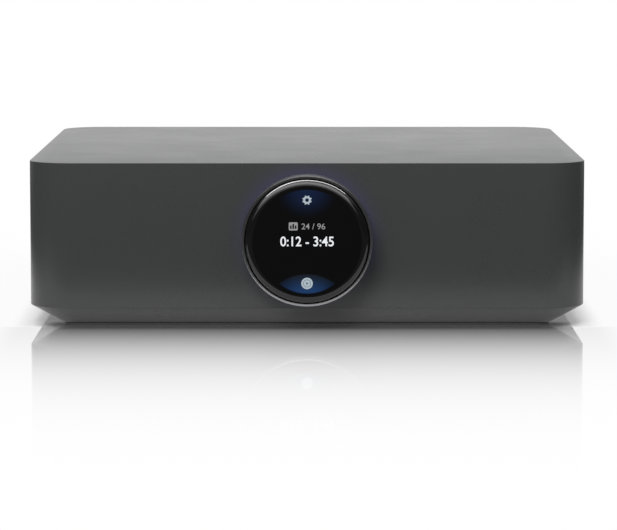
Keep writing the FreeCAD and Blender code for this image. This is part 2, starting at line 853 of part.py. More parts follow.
    screen_radius = glass_radius - carrier_wall - fit_gap
    node("screen_module", rod("screen_module", screen_radius, front_face - glass_back,
                              front_face - screen_back, "Y", z=dial_height))
    glass = turned("cover_glass", [
        (outward(glass_back), 0),
        (outward(glass_back), glass_radius),
        (outward(glass_back + glass_thickness), glass_radius),
        (outward(glass_back + glass_thickness), 0),
    ], front_face, dial_height)
    front = -float(glass_back + glass_thickness)
    rounded(glass, glass.Tip, lambda box: box.YLength < SAME and abs(box.YMin - front) < SAME, glass_rounding)
    node("cover_glass", glass)

    ribbon = new_body("screen_ribbon", 0, front_face, 0)
    path = sketch_on(ribbon, "YZ_Plane", -ribbon_width / 2)
    drop = flange_back + ribbon_reach
    landing = drop + ribbon_landing
    near = -screen_back
    draw_loop(path, [
        (near, dial_height),
        (drop, dial_height),
        (drop, board_top + ribbon_thickness),
        (landing, board_top + ribbon_thickness),
        (landing, board_top),
        (drop - ribbon_thickness, board_top),
        (drop - ribbon_thickness, dial_height - ribbon_thickness),
        (near, dial_height - ribbon_thickness),
    ])
    pad(ribbon, path, ribbon_width)
    node("screen_ribbon", ribbon)


# Speaker terminals

terminal_board_face = back_face - panel_thickness - terminal_board_gap
terminal_board_back = terminal_board_face - board_thickness
insulator_front = back_face + insulator_flange


def terminal_places():
    """The four terminals, numbered from the left, the lower one of each pair first."""
    return [(terminal_left + terminal_pitch * column, terminal_low + terminal_pitch * row)
            for column in (0, 1) for row in (0, 1)]


def make_terminals():
    studs = []
    nuts = []
    insulators = {"red": [], "black": []}
    margin = insulator_neck + terminal_board_margin
    board = block("terminal_board_blank", (terminal_left - margin, terminal_left + terminal_pitch + margin),
                  (terminal_board_back, terminal_board_face),
                  (board_top, terminal_low + terminal_pitch + margin))
    board_holes = []
    for number, (across, up) in enumerate(terminal_places()):
        stud_tail = terminal_board_back - nut_thickness - stud_tail_length
        stud_end = insulator_front + washer_thickness + cap_length - cap_end - cutout_gap
        stud = rod(f"stud_bar_{number}", stud_radius, stud_tail, stud_end, "Y", across, 0, up)
        bore = rod(f"stud_bore_{number}", plug_bore, insulator_front + washer_thickness, stud_end + OVERRUN,
                   "Y", across, 0, up)
        studs.append(cut(f"stud_{number}", stud, bore))
        flange = rod(f"insulator_flange_{number}", insulator_radius, back_face, insulator_front, "Y",
                     across, 0, up)
        neck = rod(f"insulator_neck_{number}", insulator_neck, terminal_board_face, back_face, "Y",
                   across, 0, up)
        hole = rod(f"insulator_hole_{number}", stud_radius + fit_gap, terminal_board_face - OVERRUN,
                   insulator_front + OVERRUN, "Y", across, 0, up)
        colour = "red" if number % 2 else "black"
        insulator = cut(f"insulator_{number}", fuse(f"insulator_solid_{number}", flange, neck), hole)
        insulators[colour].append(insulator)
        board_holes.append(rod(f"terminal_board_hole_{number}", stud_radius + fit_gap,
                               terminal_board_back - OVERRUN, terminal_board_face + OVERRUN,
                               "Y", across, 0, up))
        nut_back = terminal_board_back - nut_thickness
        nut = hexagon(f"nut_bar_{number}", nut_radius, nut_back, terminal_board_back, "Y", across, 0, up)
        nut_hole = rod(f"nut_hole_{number}", stud_radius + fit_gap, nut_back - OVERRUN,
                       terminal_board_back + OVERRUN, "Y", across, 0, up)
        nuts.append(cut(f"nut_{number}", nut, nut_hole))
        make_thumb_cap(number + 1, across, up)
    node("terminal_studs", group("terminal_studs", studs))
    node("terminal_nuts", group("terminal_nuts", nuts))
    node("red_insulators", group("red_insulators", insulators["red"]))
    node("black_insulators", group("black_insulators", insulators["black"]))
    node("terminal_board", cut("terminal_board", board, *board_holes))


def make_thumb_cap(number, across, up):
    washer_front = insulator_front + washer_thickness
    node(f"clamp_washer_{number}", tube(f"clamp_washer_{number}", washer_radius, stud_radius + thread_gap,
                                        insulator_front, washer_front, "Y", across, 0, up))
    bore = stud_radius + thread_gap
    cap = turned(f"thumb_cap_{number}", [
        (0, bore),
        (0, cap_radius - cap_bevel),
        (cap_bevel, cap_radius),
        (cap_length - cap_bevel, cap_radius),
        (cap_length, cap_radius - cap_bevel),
        (cap_length, plug_bore + thread_gap),
        (cap_length - cap_end, plug_bore + thread_gap),
        (cap_length - cap_end, bore),
    ], washer_front, up, across)
    groove = sketch_on(cap, "XZ_Plane", -cap_length)
    draw_circle(groove, cap_radius + grip_offset, 0, grip_groove)
    cutter = pocket(cap, groove, cap_length - washer_thickness, True)
    pattern = cap.newObject("PartDesign::PolarPattern", f"thumb_cap_grip_{number}")
    pattern.Originals = [cutter]
    pattern.Axis = (groove, ["N_Axis"])
    pattern.Angle = 360
    pattern.Occurrences = GRIP_GROOVES
    cap.Tip = pattern
    node(f"thumb_cap_{number}", cap)


# Signal sockets, reset button and mains inlet


def phono_places():
    return [(phono_left + phono_pitch * column, phono_low + phono_rise * row)
            for column in (0, 1) for row in (0, 1)]


def make_phono_sockets():
    block_front = back_face - panel_thickness
    block_back = block_front - phono_block_depth
    shells = []
    inserts = {"white": [], "red": []}
    contacts = []
    holes = []
    for number, (across, up) in enumerate(phono_places()):
        end = back_face + phono_reach
        seat = block_front - phono_seat
        tail = block_front - phono_tail
        shells.append(tube(f"phono_shell_{number}", phono_radius, phono_radius - phono_wall, seat, end,
                           "Y", across, 0, up))
        insert_radius = phono_radius - phono_wall - fit_gap / 2
        insert = tube(f"phono_insert_{number}", insert_radius, phono_bore, seat, end - phono_insert_set_back,
                      "Y", across, 0, up)
        inserts["red" if number % 2 else "white"].append(insert)
        contact_radius = phono_bore - fit_gap / 2
        contacts.append(tube(f"phono_contact_{number}", contact_radius, contact_radius - phono_contact_wall,
                             tail, end - phono_contact_set_back, "Y", across, 0, up))
        past = block_front + OVERRUN
        holes.append(rod(f"phono_seat_{number}", phono_radius + fit_gap / 2, seat, past, "Y", across, 0, up))
        holes.append(rod(f"phono_tail_{number}", phono_bore, tail, past, "Y", across, 0, up))
    right = phono_left + phono_pitch + phono_block_margin
    top = phono_low + phono_rise + phono_block_margin
    housing = block("phono_block_blank", (phono_left - phono_block_margin, right), (block_back, block_front),
                    (board_top, top))
    node("phono_block", cut("phono_block", housing, *holes))
    node("phono_shells", group("phono_shells", shells))
    node("white_phono_inserts", group("white_phono_inserts", inserts["white"]))
    node("red_phono_inserts", group("red_phono_inserts", inserts["red"]))
    node("phono_contacts", group("phono_contacts", contacts))


def make_video_socket():
    front = back_face + cutout_gap
    across = centred(video_x, video_width)
    height = (board_top, board_top + video_height)
    outside = block("video_outside", across, (front - video_depth, front), height)
    inside = block("video_inside", (across[0] + sheet_metal, across[1] - sheet_metal),
                   (front - video_depth + sheet_metal, front + OVERRUN),
                   (height[0] + sheet_metal, height[1] - sheet_metal))
    node("video_shell", cut("video_shell", outside, inside))
    middle = board_top + video_height / 2
    root = block("video_root", (across[0] + sheet_metal, across[1] - sheet_metal),
                 (front - video_depth + sheet_metal, front - video_depth + sheet_metal + video_root),
                 (height[0] + sheet_metal, height[1] - sheet_metal))
    blade = block("video_blade", centred(video_x, video_tongue_width),
                  (front - video_depth + sheet_metal, front - video_tongue_set_back),
                  centred(middle, video_tongue))
    node("video_tongue", fuse("video_tongue", root, blade))


def make_network_socket():
    front = back_face + cutout_gap
    outside = block("network_outside", centred(network_x, network_width), (front - network_depth, front),
                    (board_top, board_top + network_height))
    mouth_bottom = board_top + network_floor
    mouth_top = mouth_bottom + network_mouth_height
    mouth_back = front - network_mouth_depth
    mouth = block("network_mouth", centred(network_x, network_mouth), (mouth_back, front + OVERRUN),
                  (mouth_bottom, mouth_top))
    latch = block("network_latch", centred(network_x, latch_width), (mouth_back, front + OVERRUN),
                  (mouth_bottom - latch_depth, mouth_bottom + OVERRUN))
    node("network_socket", cut("network_socket", outside, mouth, latch))
    contacts = []
    for number in range(NETWORK_CONTACTS):
        across = network_x + (number - (NETWORK_CONTACTS - 1) / 2) * contact_pitch
        contacts.append(block(f"network_contact_{number}", centred(across, contact_width),
                              (mouth_back, front - contact_set_back),
                              (mouth_top - contact_thickness, mouth_top)))
    node("network_contacts", group("network_contacts", contacts))


def make_optical_socket():
    front = back_face + cutout_gap
    middle = board_top + optical_size / 2
    outside = block("optical_outside", centred(optical_x, optical_size), (front - optical_depth, front),
                    (board_top, board_top + optical_size))
    mouth = block("optical_mouth", centred(optical_x, optical_mouth),
                  (front - optical_depth + optical_back, front + OVERRUN), centred(middle, optical_mouth))
    node("optical_socket", cut("optical_socket", outside, mouth))
    top = middle + optical_mouth / 2 - shutter_gap
    shutter_front = front - shutter_set_back
    across = centred(optical_x, optical_mouth - 2 * shutter_gap)
    leaf = block("shutter_leaf", across, (shutter_front - shutter_thickness, shutter_front),
                 (middle - optical_mouth / 2 + shutter_gap, top - shutter_thickness / 2))
    pivot = rod("shutter_pivot", shutter_thickness / 2, across[0], across[1], "X", 0,
                shutter_front - shutter_thickness / 2, top - shutter_thickness / 2)
    node("optical_shutter", fuse("optical_shutter", leaf, pivot))


def make_reset_button():
    height = board_top + reset_body / 2
    front = back_face - panel_thickness - reset_set_back
    body = block("reset_body", centred(reset_x, reset_body), (front - reset_body_depth, front),
                 (board_top, board_top + reset_body))
    hole = rod("reset_hole", reset_radius + shutter_gap, front - reset_bore, front + OVERRUN, "Y",
               reset_x, 0, height)
    length = back_face + reset_proud - front + reset_tail
    node("reset_switch", cut("reset_switch", body, hole))
    plunger = turned("reset_button", [
        (0, 0),
        (0, reset_radius),
        (length - edge_break, reset_radius),
        (length, reset_radius - edge_break),
        (length, 0),
    ], front - reset_tail, height, reset_x)
    node("reset_button", plunger)


def make_mains_inlet():
    face = back_face + inlet_flange
    flange = block("inlet_flange", centred(inlet_x, inlet_width + 2 * inlet_flange_margin), (back_face, face),
                   centred(panel_centre, inlet_height + 2 * inlet_flange_margin))
    shell = block("inlet_shell", centred(inlet_x, inlet_width), (face - inlet_depth, back_face + OVERRUN),
                  centred(panel_centre, inlet_height))
    mouth_back = face - inlet_mouth_depth
    waist = block("inlet_waist", centred(inlet_x, inlet_mouth_width - inlet_mouth_height),
                  (mouth_back, face + OVERRUN), centred(panel_centre, inlet_mouth_height))
    ends = [rod(f"inlet_end_{side}", inlet_mouth_height / 2, mouth_back, face + OVERRUN, "Y",
                inlet_x + side * (inlet_mouth_width - inlet_mouth_height) / 2, 0, panel_centre)
            for side in (-1, 1)]
    pins = []
    pin_holes = []
    for side in (-1, 1):
        across = inlet_x + side * pin_pitch / 2
        back = face - inlet_depth
        pins.append(rod(f"inlet_pin_{side}", pin_radius, back - pin_tail, mouth_back + pin_length, "Y",
                        across, 0, panel_centre))
        pin_holes.append(rod(f"inlet_pin_hole_{side}", pin_radius, back - OVERRUN, mouth_back + OVERRUN, "Y",
                             across, 0, panel_centre))
    solid = fuse("inlet_solid", flange, shell)
    node("mains_inlet", cut("mains_inlet", solid, waist, *ends, *pin_holes))
    node("mains_pins", group("mains_pins", pins))


def make_rear_panel():
    body = new_body("rear_panel")
    outline = sketch_on(body, "XZ_Plane", -back_face)
    draw_rectangle(outline, centred(Length(0), panel_width - 2 * fit_gap),
                   centred(panel_centre, panel_height - 2 * fit_gap))
    pad(body, outline, panel_thickness)
    holes = sketch_on(body, "XZ_Plane", -back_face)
    for across, up in panel_screw_places():
        draw_circle(holes, across, up, small_screw + fit_gap)
    for across, up in terminal_places():
        draw_circle(holes, across, up, insulator_neck + fit_gap)
    for across, up in phono_places():
        draw_circle(holes, across, up, phono_radius + cutout_gap)
    draw_circle(holes, reset_x, board_top + reset_body / 2, reset_radius + cutout_gap)
    side = 2 * cutout_gap
    draw_rectangle(holes, centred(inlet_x, inlet_width + side), centred(panel_centre, inlet_height + side))
    draw_rectangle(holes, centred(video_x, video_width + side),
                   (board_top - cutout_gap, board_top + video_height + cutout_gap))
    draw_rectangle(holes, centred(network_x, network_width + side),
                   (board_top - cutout_gap, board_top + network_height + cutout_gap))
    draw_rectangle(holes, centred(optical_x, optical_size + side),
                   (board_top - cutout_gap, board_top + optical_size + cutout_gap))
    pocket(body, holes, panel_thickness, True)
    node("rear_panel", body)
    screws = []
    for number, (across, up) in enumerate(panel_screw_places()):
        screws.append(screw(f"panel_screw_{number}", small_screw, back_face + small_screw,
                            panel_screw_length - thread_spare, "Y", -1, x=across, z=up))
    node("panel_screws", group("panel_screws", screws))


# Boards and what stands on them


def board_screw_places(left, right):
    rows = (board_front + board_inset, board_back - phono_block_depth - board_inset * 2)
    return [(across, along) for across in (left + board_inset, right - board_inset) for along in rows]


def make_boards():
    standoffs = []
    screws = []
    spans = {
        "main_board": (main_board_left, main_board_right),
        "power_board": (power_board_left, power_board_right),
    }
    for board, span in spans.items():
        holes = []
        for number, (across, along) in enumerate(board_screw_places(*span)):
            name = f"{board}_{number}"
            holes.append(rod(name + "_hole", base_screw + fit_gap, board_bottom - OVERRUN,
                             board_top + OVERRUN, "Z", across, along))
            post = hexagon(name + "_post", standoff_radius, base_top, board_bottom, "Z", across, along)
            thread = rod(name + "_thread", base_screw, board_bottom - standoff_thread,
                         board_bottom + OVERRUN, "Z", across, along)
            standoffs.append(cut(name + "_standoff", post, thread))
            screws.append(screw(name + "_screw", base_screw, board_top + base_screw, board_screw_length,
                                "Z", -1, across, along))
        blank = block(board + "_blank", span, (board_front, board_back), (board_bottom, board_top))
        node(board, cut(board, blank, *holes))
    node("board_standoffs", group("board_standoffs", standoffs))
    node("board_screws", group("board_screws", screws))
    link = block("board_link", (link_left, power_board_left + link_overlap),
                 centred(Length(0), link_depth), (board_top, board_top + link_height))
    node("board_link", link)


def make_board_parts():
    chip_top = board_top + chip_thickness
    sink_middle = sink_left + sink_width / 2
    chips = []
    for side in (-1, 1):
        chips.append(block(f"amplifier_chip_{side}", centred(sink_middle + side * sink_width / 4, chip_side),
                           centred(sink_front + sink_depth / 2, chip_side), (board_top, chip_top)))
    node("amplifier_chips", group("amplifier_chips", chips))
    fins = [block("sink_plate", (sink_left, sink_left + sink_width), (sink_front, sink_front + sink_depth),
                  (chip_top, chip_top + sink_base))]
    for number in range(SINK_FINS):
        left = sink_left + (sink_width - fin_thickness) * number / (SINK_FINS - 1)
        fins.append(block(f"sink_fin_{number}", (left, left + fin_thickness),
                          (sink_front, sink_front + sink_depth), (chip_top, chip_top + sink_height)))
    node("heat_sink", fuse("heat_sink", *fins))

    coils = []
    coil_row = (sink_front + sink_depth + board_back - phono_block_depth) / 2
    for number in range(OUTPUT_COILS):
        across = sink_left + coil_radius + number * (coil_radius * 2 + coil_gap)
        core = rod(f"coil_core_{number}", coil_core, board_top, board_top + coil_height, "Z",
                   across, coil_row)
        winding = rod(f"coil_winding_{number}", coil_radius, board_top + coil_flange,
                      board_top + coil_height - coil_flange, "Z", across, coil_row)
        coils.append(fuse(f"output_coil_{number}", core, winding))
    node("output_coils", group("output_coils", coils))

    power_middle = power_board_left + power_board_width / 2
    core = block("core", centred(power_middle, core_width), centred(transformer_y, core_waist),
                 (board_top, board_top + core_height))
    winding = block("winding", centred(power_middle, winding_width), centred(transformer_y, core_depth),
                    (board_top + winding_margin, board_top + core_height - winding_margin))
    node("power_transformer", fuse("power_transformer", core, winding))
    stores = []
    for number in range(STORES):
        along = board_front + board_inset * 2 + store_radius + number * (store_radius * 2 + store_gap)
        can = rod(f"store_can_{number}", store_radius, board_top, board_top + store_height, "Z",
                  power_middle, along)
        groove_low = board_top + store_groove_height
        groove = tube(f"store_groove_{number}", store_radius + OVERRUN, store_radius - store_groove_depth,
                      groove_low, groove_low + store_groove_width, "Z", power_middle, along)
        stores.append(cut(f"store_{number}", can, groove))
    node("storage_capacitors", group("storage_capacitors", stores))
    choke = doc.addObject("Part::Torus", "mains_choke")
    bind(choke, Radius1=choke_radius - choke_wire, Radius2=choke_wire)
    choke_y = transformer_y + core_depth / 2 + choke_radius + choke_gap
    place(choke, power_middle, choke_y, board_top + choke_wire)
    node("mains_choke", choke)

    radio_front = cover_front + cover_side + cover_gap
    processor_cover = block("processor_cover", (cover_left, cover_left + cover_side),
                            (cover_front, cover_front + cover_side), (board_top, board_top + cover_height))
    radio_cover = block("radio_cover", (cover_left, cover_left + radio_width),
                        (radio_front, radio_front + radio_depth), (board_top, board_top + cover_height))
    node("shield_covers", group("shield_covers", [processor_cover, radio_cover]))
    antennas = []
    inner = back_face - panel_thickness
    for number, middle in enumerate((video_x, network_x)):
        antennas.append(block(f"antenna_{number}", centred(middle, antenna_width),
                              (inner - antenna_thickness, inner),
                              centred(board_top + network_height + antenna_rise, antenna_height)))
    node("antennas", group("antennas", antennas))


make_top_case()
make_base()
make_dial()
make_terminals()
make_phono_sockets()
make_video_socket()
make_network_socket()
make_optical_socket()
make_reset_button()
make_mains_inlet()
make_rear_panel()
make_boards()
make_board_parts()
doc.recompute()

# Checks, then one file for each piece

for item in doc.Objects:
    if "Invalid" in item.State or "Error" in item.State:
        raise RuntimeError(f"{item.Name} failed: {item.State}")
for name, item in nodes.items():
    if item.Shape.isNull() or not item.Shape.isValid() or not item.Shape.Solids:
        raise RuntimeError(f"{name} has no valid solid")

os.makedirs("parts", exist_ok=True)
for name, item in nodes.items():
    item.Shape.exportStep(f"parts/{name}.step")
print(f"{len(nodes)} pieces written")
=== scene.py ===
import json
import math

import bmesh
import bpy
from bpy.props import FloatProperty, FloatVectorProperty, IntProperty, PointerProperty, StringProperty
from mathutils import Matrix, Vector


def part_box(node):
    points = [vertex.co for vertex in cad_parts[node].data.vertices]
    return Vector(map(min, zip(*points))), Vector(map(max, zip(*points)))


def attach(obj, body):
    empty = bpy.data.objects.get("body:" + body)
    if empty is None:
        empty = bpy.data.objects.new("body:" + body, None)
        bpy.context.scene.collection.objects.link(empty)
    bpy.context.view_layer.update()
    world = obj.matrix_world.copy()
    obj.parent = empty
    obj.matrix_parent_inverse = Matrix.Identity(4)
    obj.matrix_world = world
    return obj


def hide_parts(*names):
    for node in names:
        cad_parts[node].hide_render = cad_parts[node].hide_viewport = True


bl_info = {
    "name": "Streaming amplifier",
    "version": (1, 0, 0),
    "blender": (4, 5, 0),
    "location": "View3D > Sidebar > Amplifier",
    "description": "Dresses the packed model of a streaming amplifier with a round dial",
    "category": "Add Mesh",
}

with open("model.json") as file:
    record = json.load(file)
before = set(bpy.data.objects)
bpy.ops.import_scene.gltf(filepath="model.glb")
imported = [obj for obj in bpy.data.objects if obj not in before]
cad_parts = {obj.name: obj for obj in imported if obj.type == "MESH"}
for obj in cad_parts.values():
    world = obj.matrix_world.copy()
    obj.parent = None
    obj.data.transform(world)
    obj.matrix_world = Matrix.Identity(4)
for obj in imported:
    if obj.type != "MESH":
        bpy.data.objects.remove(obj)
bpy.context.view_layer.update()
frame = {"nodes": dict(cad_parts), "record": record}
MM = 0.001
TURN = 2 * math.pi
# How far a print or a lit sign stands off its surface
HAIR = 0.02 * MM

CASE_LOW, CASE_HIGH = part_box("top_case")
PLATE_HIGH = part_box("base_plate")[1]
PANEL_LOW, PANEL_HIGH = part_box("rear_panel")
FOOT_LOW, FOOT_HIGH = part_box("foot_pad")
RING_LOW, RING_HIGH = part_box("dial_ring")
GLASS_LOW, GLASS_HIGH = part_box("cover_glass")
DIAL_RADIUS = (RING_HIGH.x - RING_LOW.x) / 2
GLASS_RADIUS = (GLASS_HIGH.x - GLASS_LOW.x) / 2
DIAL_CENTRE = Vector((0, 0, (GLASS_LOW.z + GLASS_HIGH.z) / 2))
GLASS_FRONT = GLASS_LOW.y

# The screen's picture, with each sign's place to the right of its middle and above it
PICTURE_RISE = 0.3 * MM
PICTURE_MIDDLE = Vector((DIAL_CENTRE.x, GLASS_FRONT, DIAL_CENTRE.z + PICTURE_RISE))
READING_PLACE = (0, -0.1 * MM)
RATE_PLACE = (2.4 * MM, 5.65 * MM)
BARS_PLACE = (-5.25 * MM, 5.65 * MM)
GEAR_PLACE = (0, 15.7 * MM)
DISC_PLACE = (0, -16.2 * MM)


class CaseSettings(bpy.types.PropertyGroup):
    corner: FloatProperty(name="Corner", description="Radius of the upright corners", default=17 * MM,
                          unit="LENGTH")
    chamfer_rise: FloatProperty(name="Chamfer rise", description="Height of the lower chamfer",
                                default=7 * MM, unit="LENGTH")
    chamfer_inset: FloatProperty(name="Chamfer inset", description="How far the lower chamfer leans in",
                                 default=12.5 * MM, unit="LENGTH")
    wall: FloatProperty(name="Wall", description="Thickness of the case's wall", default=4 * MM,
                        unit="LENGTH")
    edge: FloatProperty(name="Edge", description="Small round along the case's edges", default=0.35 * MM,
                        unit="LENGTH")
    coat: FloatVectorProperty(name="Coat", description="Colour of the coat", subtype="COLOR",
                              default=(0.049, 0.051, 0.0505), min=0, max=1)
    # Painted light: a blue glow that the case's coat gives off round the dial, in place of light thrown by
    # the dial
    halo: FloatVectorProperty(name="Halo", description="Light that the dial throws on the case",
                              subtype="COLOR", default=(0.006, 0.004, 0.040), min=0, max=1)


class DialSettings(bpy.types.PropertyGroup):
    bevel: FloatVectorProperty(name="Bevel", description="Width and depth of the bevel on the ring's front",
                               size=2, default=(0.46 * MM, 0.17 * MM), unit="LENGTH")
    edge: FloatProperty(name="Edge", description="Round of the ring's rear edge", default=0.4 * MM,
                        unit="LENGTH")
    ease: FloatProperty(name="Ease", description="Small bevel that takes off the ring's sharp edges",
                        default=0.06 * MM, unit="LENGTH")
    gap: FloatProperty(name="Gap", description="Between the glass and the ring's bore", default=0.2 * MM,
                       unit="LENGTH")
    rear_bore: FloatProperty(name="Rear bore", description="Radius of the ring's bore behind the glass",
                             default=22 * MM, unit="LENGTH")
    web: FloatProperty(name="Web", description="From the ring's front to the step in its bore",
                       default=5.2 * MM, unit="LENGTH")
    dome: FloatProperty(name="Dome", description="Round of the glass at its rim", default=2.9 * MM,
                        unit="LENGTH")
    metal: FloatVectorProperty(name="Metal", description="Colour of the ring", subtype="COLOR",
                               default=(0.31, 0.31, 0.32), min=0, max=1)


class ScreenSettings(bpy.types.PropertyGroup):
    reading: StringProperty(name="Reading", description="Numbers on the large line", default="0:12 - 3:45")
    rate: StringProperty(name="Rate", description="Numbers on the small line", default="24 / 96")
    reading_size: FloatVectorProperty(name="Reading size", description="Width and height of the large line",
                                      size=2, default=(20.4 * MM, 3.8 * MM), unit="LENGTH")
    rate_size: FloatVectorProperty(name="Rate size", description="Width and height of the small line",
                                   size=2, default=(9.0 * MM, 2.26 * MM), unit="LENGTH")
    teeth: IntProperty(name="Teeth", description="Teeth of the small gear", default=8, min=5)
    gear_radius: FloatProperty(name="Gear", description="Radius of the small gear between its teeth",
                               default=1.5 * MM, unit="LENGTH")
    gear_rim: FloatProperty(name="Gear rim", description="Width of the gear round its hole",
                            default=0.78 * MM, unit="LENGTH")
    box_side: FloatProperty(name="Box", description="Height of the small box with the level bars",
                            default=3.1 * MM, unit="LENGTH")
    disc_radius: FloatProperty(name="Disc", description="Radius of the lower disc", default=2.2 * MM,
                               unit="LENGTH")
    ink: FloatVectorProperty(name="Ink", description="Colour of the lit numbers", subtype="COLOR",
                             default=(0.85, 0.88, 0.9), min=0, max=1)
    pale: FloatVectorProperty(name="Pale ink", description="Colour of the small pictures", subtype="COLOR",
                              default=(0.42, 0.49, 0.55), min=0, max=1)
    dim: FloatVectorProperty(name="Dim ink", description="Colour of the small numbers", subtype="COLOR",
                             default=(0.30, 0.30, 0.30), min=0, max=1)
    faint: FloatVectorProperty(name="Faint ink", description="Colour of the marks on the disc",
                               subtype="COLOR", default=(0.12, 0.165, 0.19), min=0, max=1)


class RearSettings(bpy.types.PropertyGroup):
    grooves: IntProperty(name="Grooves", description="Grip grooves round a thumb cap", default=16, min=6)
    groove_depth: FloatProperty(name="Groove depth", description="Depth of a grip groove", default=0.54 * MM,
                                unit="LENGTH")
    groove_start: FloatProperty(name="Groove start", description="Plain band behind the grooves",
                                default=1.5 * MM, unit="LENGTH")
    cap_round: FloatProperty(name="Cap round", description="Round of a thumb cap's edges", default=0.7 * MM,
                             unit="LENGTH")
    cap_bore: FloatProperty(name="Cap bore", description="Radius of the bore for the stud", default=3.1 * MM,
                            unit="LENGTH")
    plug_bore: FloatProperty(name="Plug bore", description="Radius of the hole for a plug", default=2.1 * MM,
                             unit="LENGTH")
    cap_end: FloatProperty(name="Cap end", description="Thickness of a thumb cap's end", default=1.4 * MM,
                           unit="LENGTH")
    print_height: FloatProperty(name="Print height", description="Height of the printed numbers",
                                default=2.4 * MM, unit="LENGTH")
    print_drop: FloatProperty(name="Print drop", description="From the panel's top to the numbers' middle",
                              default=2.4 * MM, unit="LENGTH")
    sign_gap: FloatProperty(name="Sign gap", description="From a thumb cap to its sign's middle",
                            default=2.2 * MM, unit="LENGTH")


class StageSettings(bpy.types.PropertyGroup):
    lens: FloatProperty(name="Lens", description="Focal length of the camera", default=196.1,
                        subtype="DISTANCE_CAMERA")
    distance: FloatProperty(name="Distance", description="From the camera to the middle of the case",
                            default=1.3978, unit="LENGTH")
    height: FloatProperty(name="Height", description="Height of the camera over the floor",
                          default=0.1617, unit="LENGTH")
    aside: FloatProperty(name="Aside", description="The camera's place to the right of the middle",
                         default=0.00056, unit="LENGTH")
    pitch: FloatProperty(name="Pitch", description="How far the camera looks down", default=0.1059,
                         unit="ROTATION")
    floor_size: FloatProperty(name="Floor", description="Side of the floor", default=12, unit="LENGTH")


class Signal:
    """One value that changes over a surface, with plain arithmetic."""

    def __init__(self, tree, socket):
        self.tree = tree
        self.socket = socket

    def maths(self, operation, *others):
        values = dict(enumerate((self, *others)))
        return self.tree.add("ShaderNodeMath", {"operation": operation}, values)

    def __add__(self, other):
        return self.maths("ADD", other)

    __radd__ = __add__

    def __sub__(self, other):
        return self.maths("SUBTRACT", other)

    def __mul__(self, other):
        return self.maths("MULTIPLY", other)

    __rmul__ = __mul__

    def __truediv__(self, other):
        return self.maths("DIVIDE", other)

    def __pow__(self, other):
        return self.maths("POWER", other)

    def __lt__(self, other):
        return self.maths("LESS_THAN", other)

    def __gt__(self, other):
        return self.maths("GREATER_THAN", other)

    def root(self):
        return self.maths("SQRT")

    def sine(self):
        return self.maths("SINE")

    def angle(self, other):
        return self.maths("ARCTAN2", other)

    def size(self):
        return self.maths("ABSOLUTE")

    def at_least(self, other):
        return self.maths("MAXIMUM", other)

    def ramp(self, start, end):
        """0 up to start and 1 from end on, or the other way round where end is the smaller one."""
        low, high, first, last = (start, end, 0, 1) if start < end else (end, start, 1, 0)
        values = {"Value": self, "From Min": low, "From Max": high, "To Min": first, "To Max": last}
        return self.tree.add("ShaderNodeMapRange", {"interpolation_type": "SMOOTHSTEP"}, values)


def hypotenuse(first, second):
    return (first * first + second * second).root()


def from_axis(x, z, centre):
    """The distance from an axis that runs along Y."""
    return hypotenuse(x - centre.x, z - centre.z)


class ShaderTree:
    """The nodes of a material or of the world, made one by one."""

    def __init__(self, node_tree):
        self.nodes = node_tree.nodes
        self.links = node_tree.links

    def feed(self, socket, value):
        if isinstance(value, Signal):
            self.links.new(value.socket, socket)
        elif isinstance(value, (int, float, str)):
            socket.default_value = value
        else:
            socket.default_value = list(value) + [1] * (len(socket.default_value) - len(value))

    def add(self, kind, settings, values, output=0):
        node = self.nodes.new(kind)
        for name, value in settings.items():
            setattr(node, name, value)
        for name, value in values.items():
            self.feed(node.inputs[name], value)
        return Signal(self, node.outputs[output])

    def split(self, vector):
        return tuple(self.add("ShaderNodeSeparateXYZ", {}, {0: vector}, axis) for axis in "XYZ")

    def light_path(self):
        node = self.nodes.new("ShaderNodeLightPath")
        return lambda name: Signal(self, node.outputs[name])

    def between(self, share, first, second):
        """A number between two numbers."""
        return self.add("ShaderNodeMix", {}, {0: share, 2: first, 3: second})


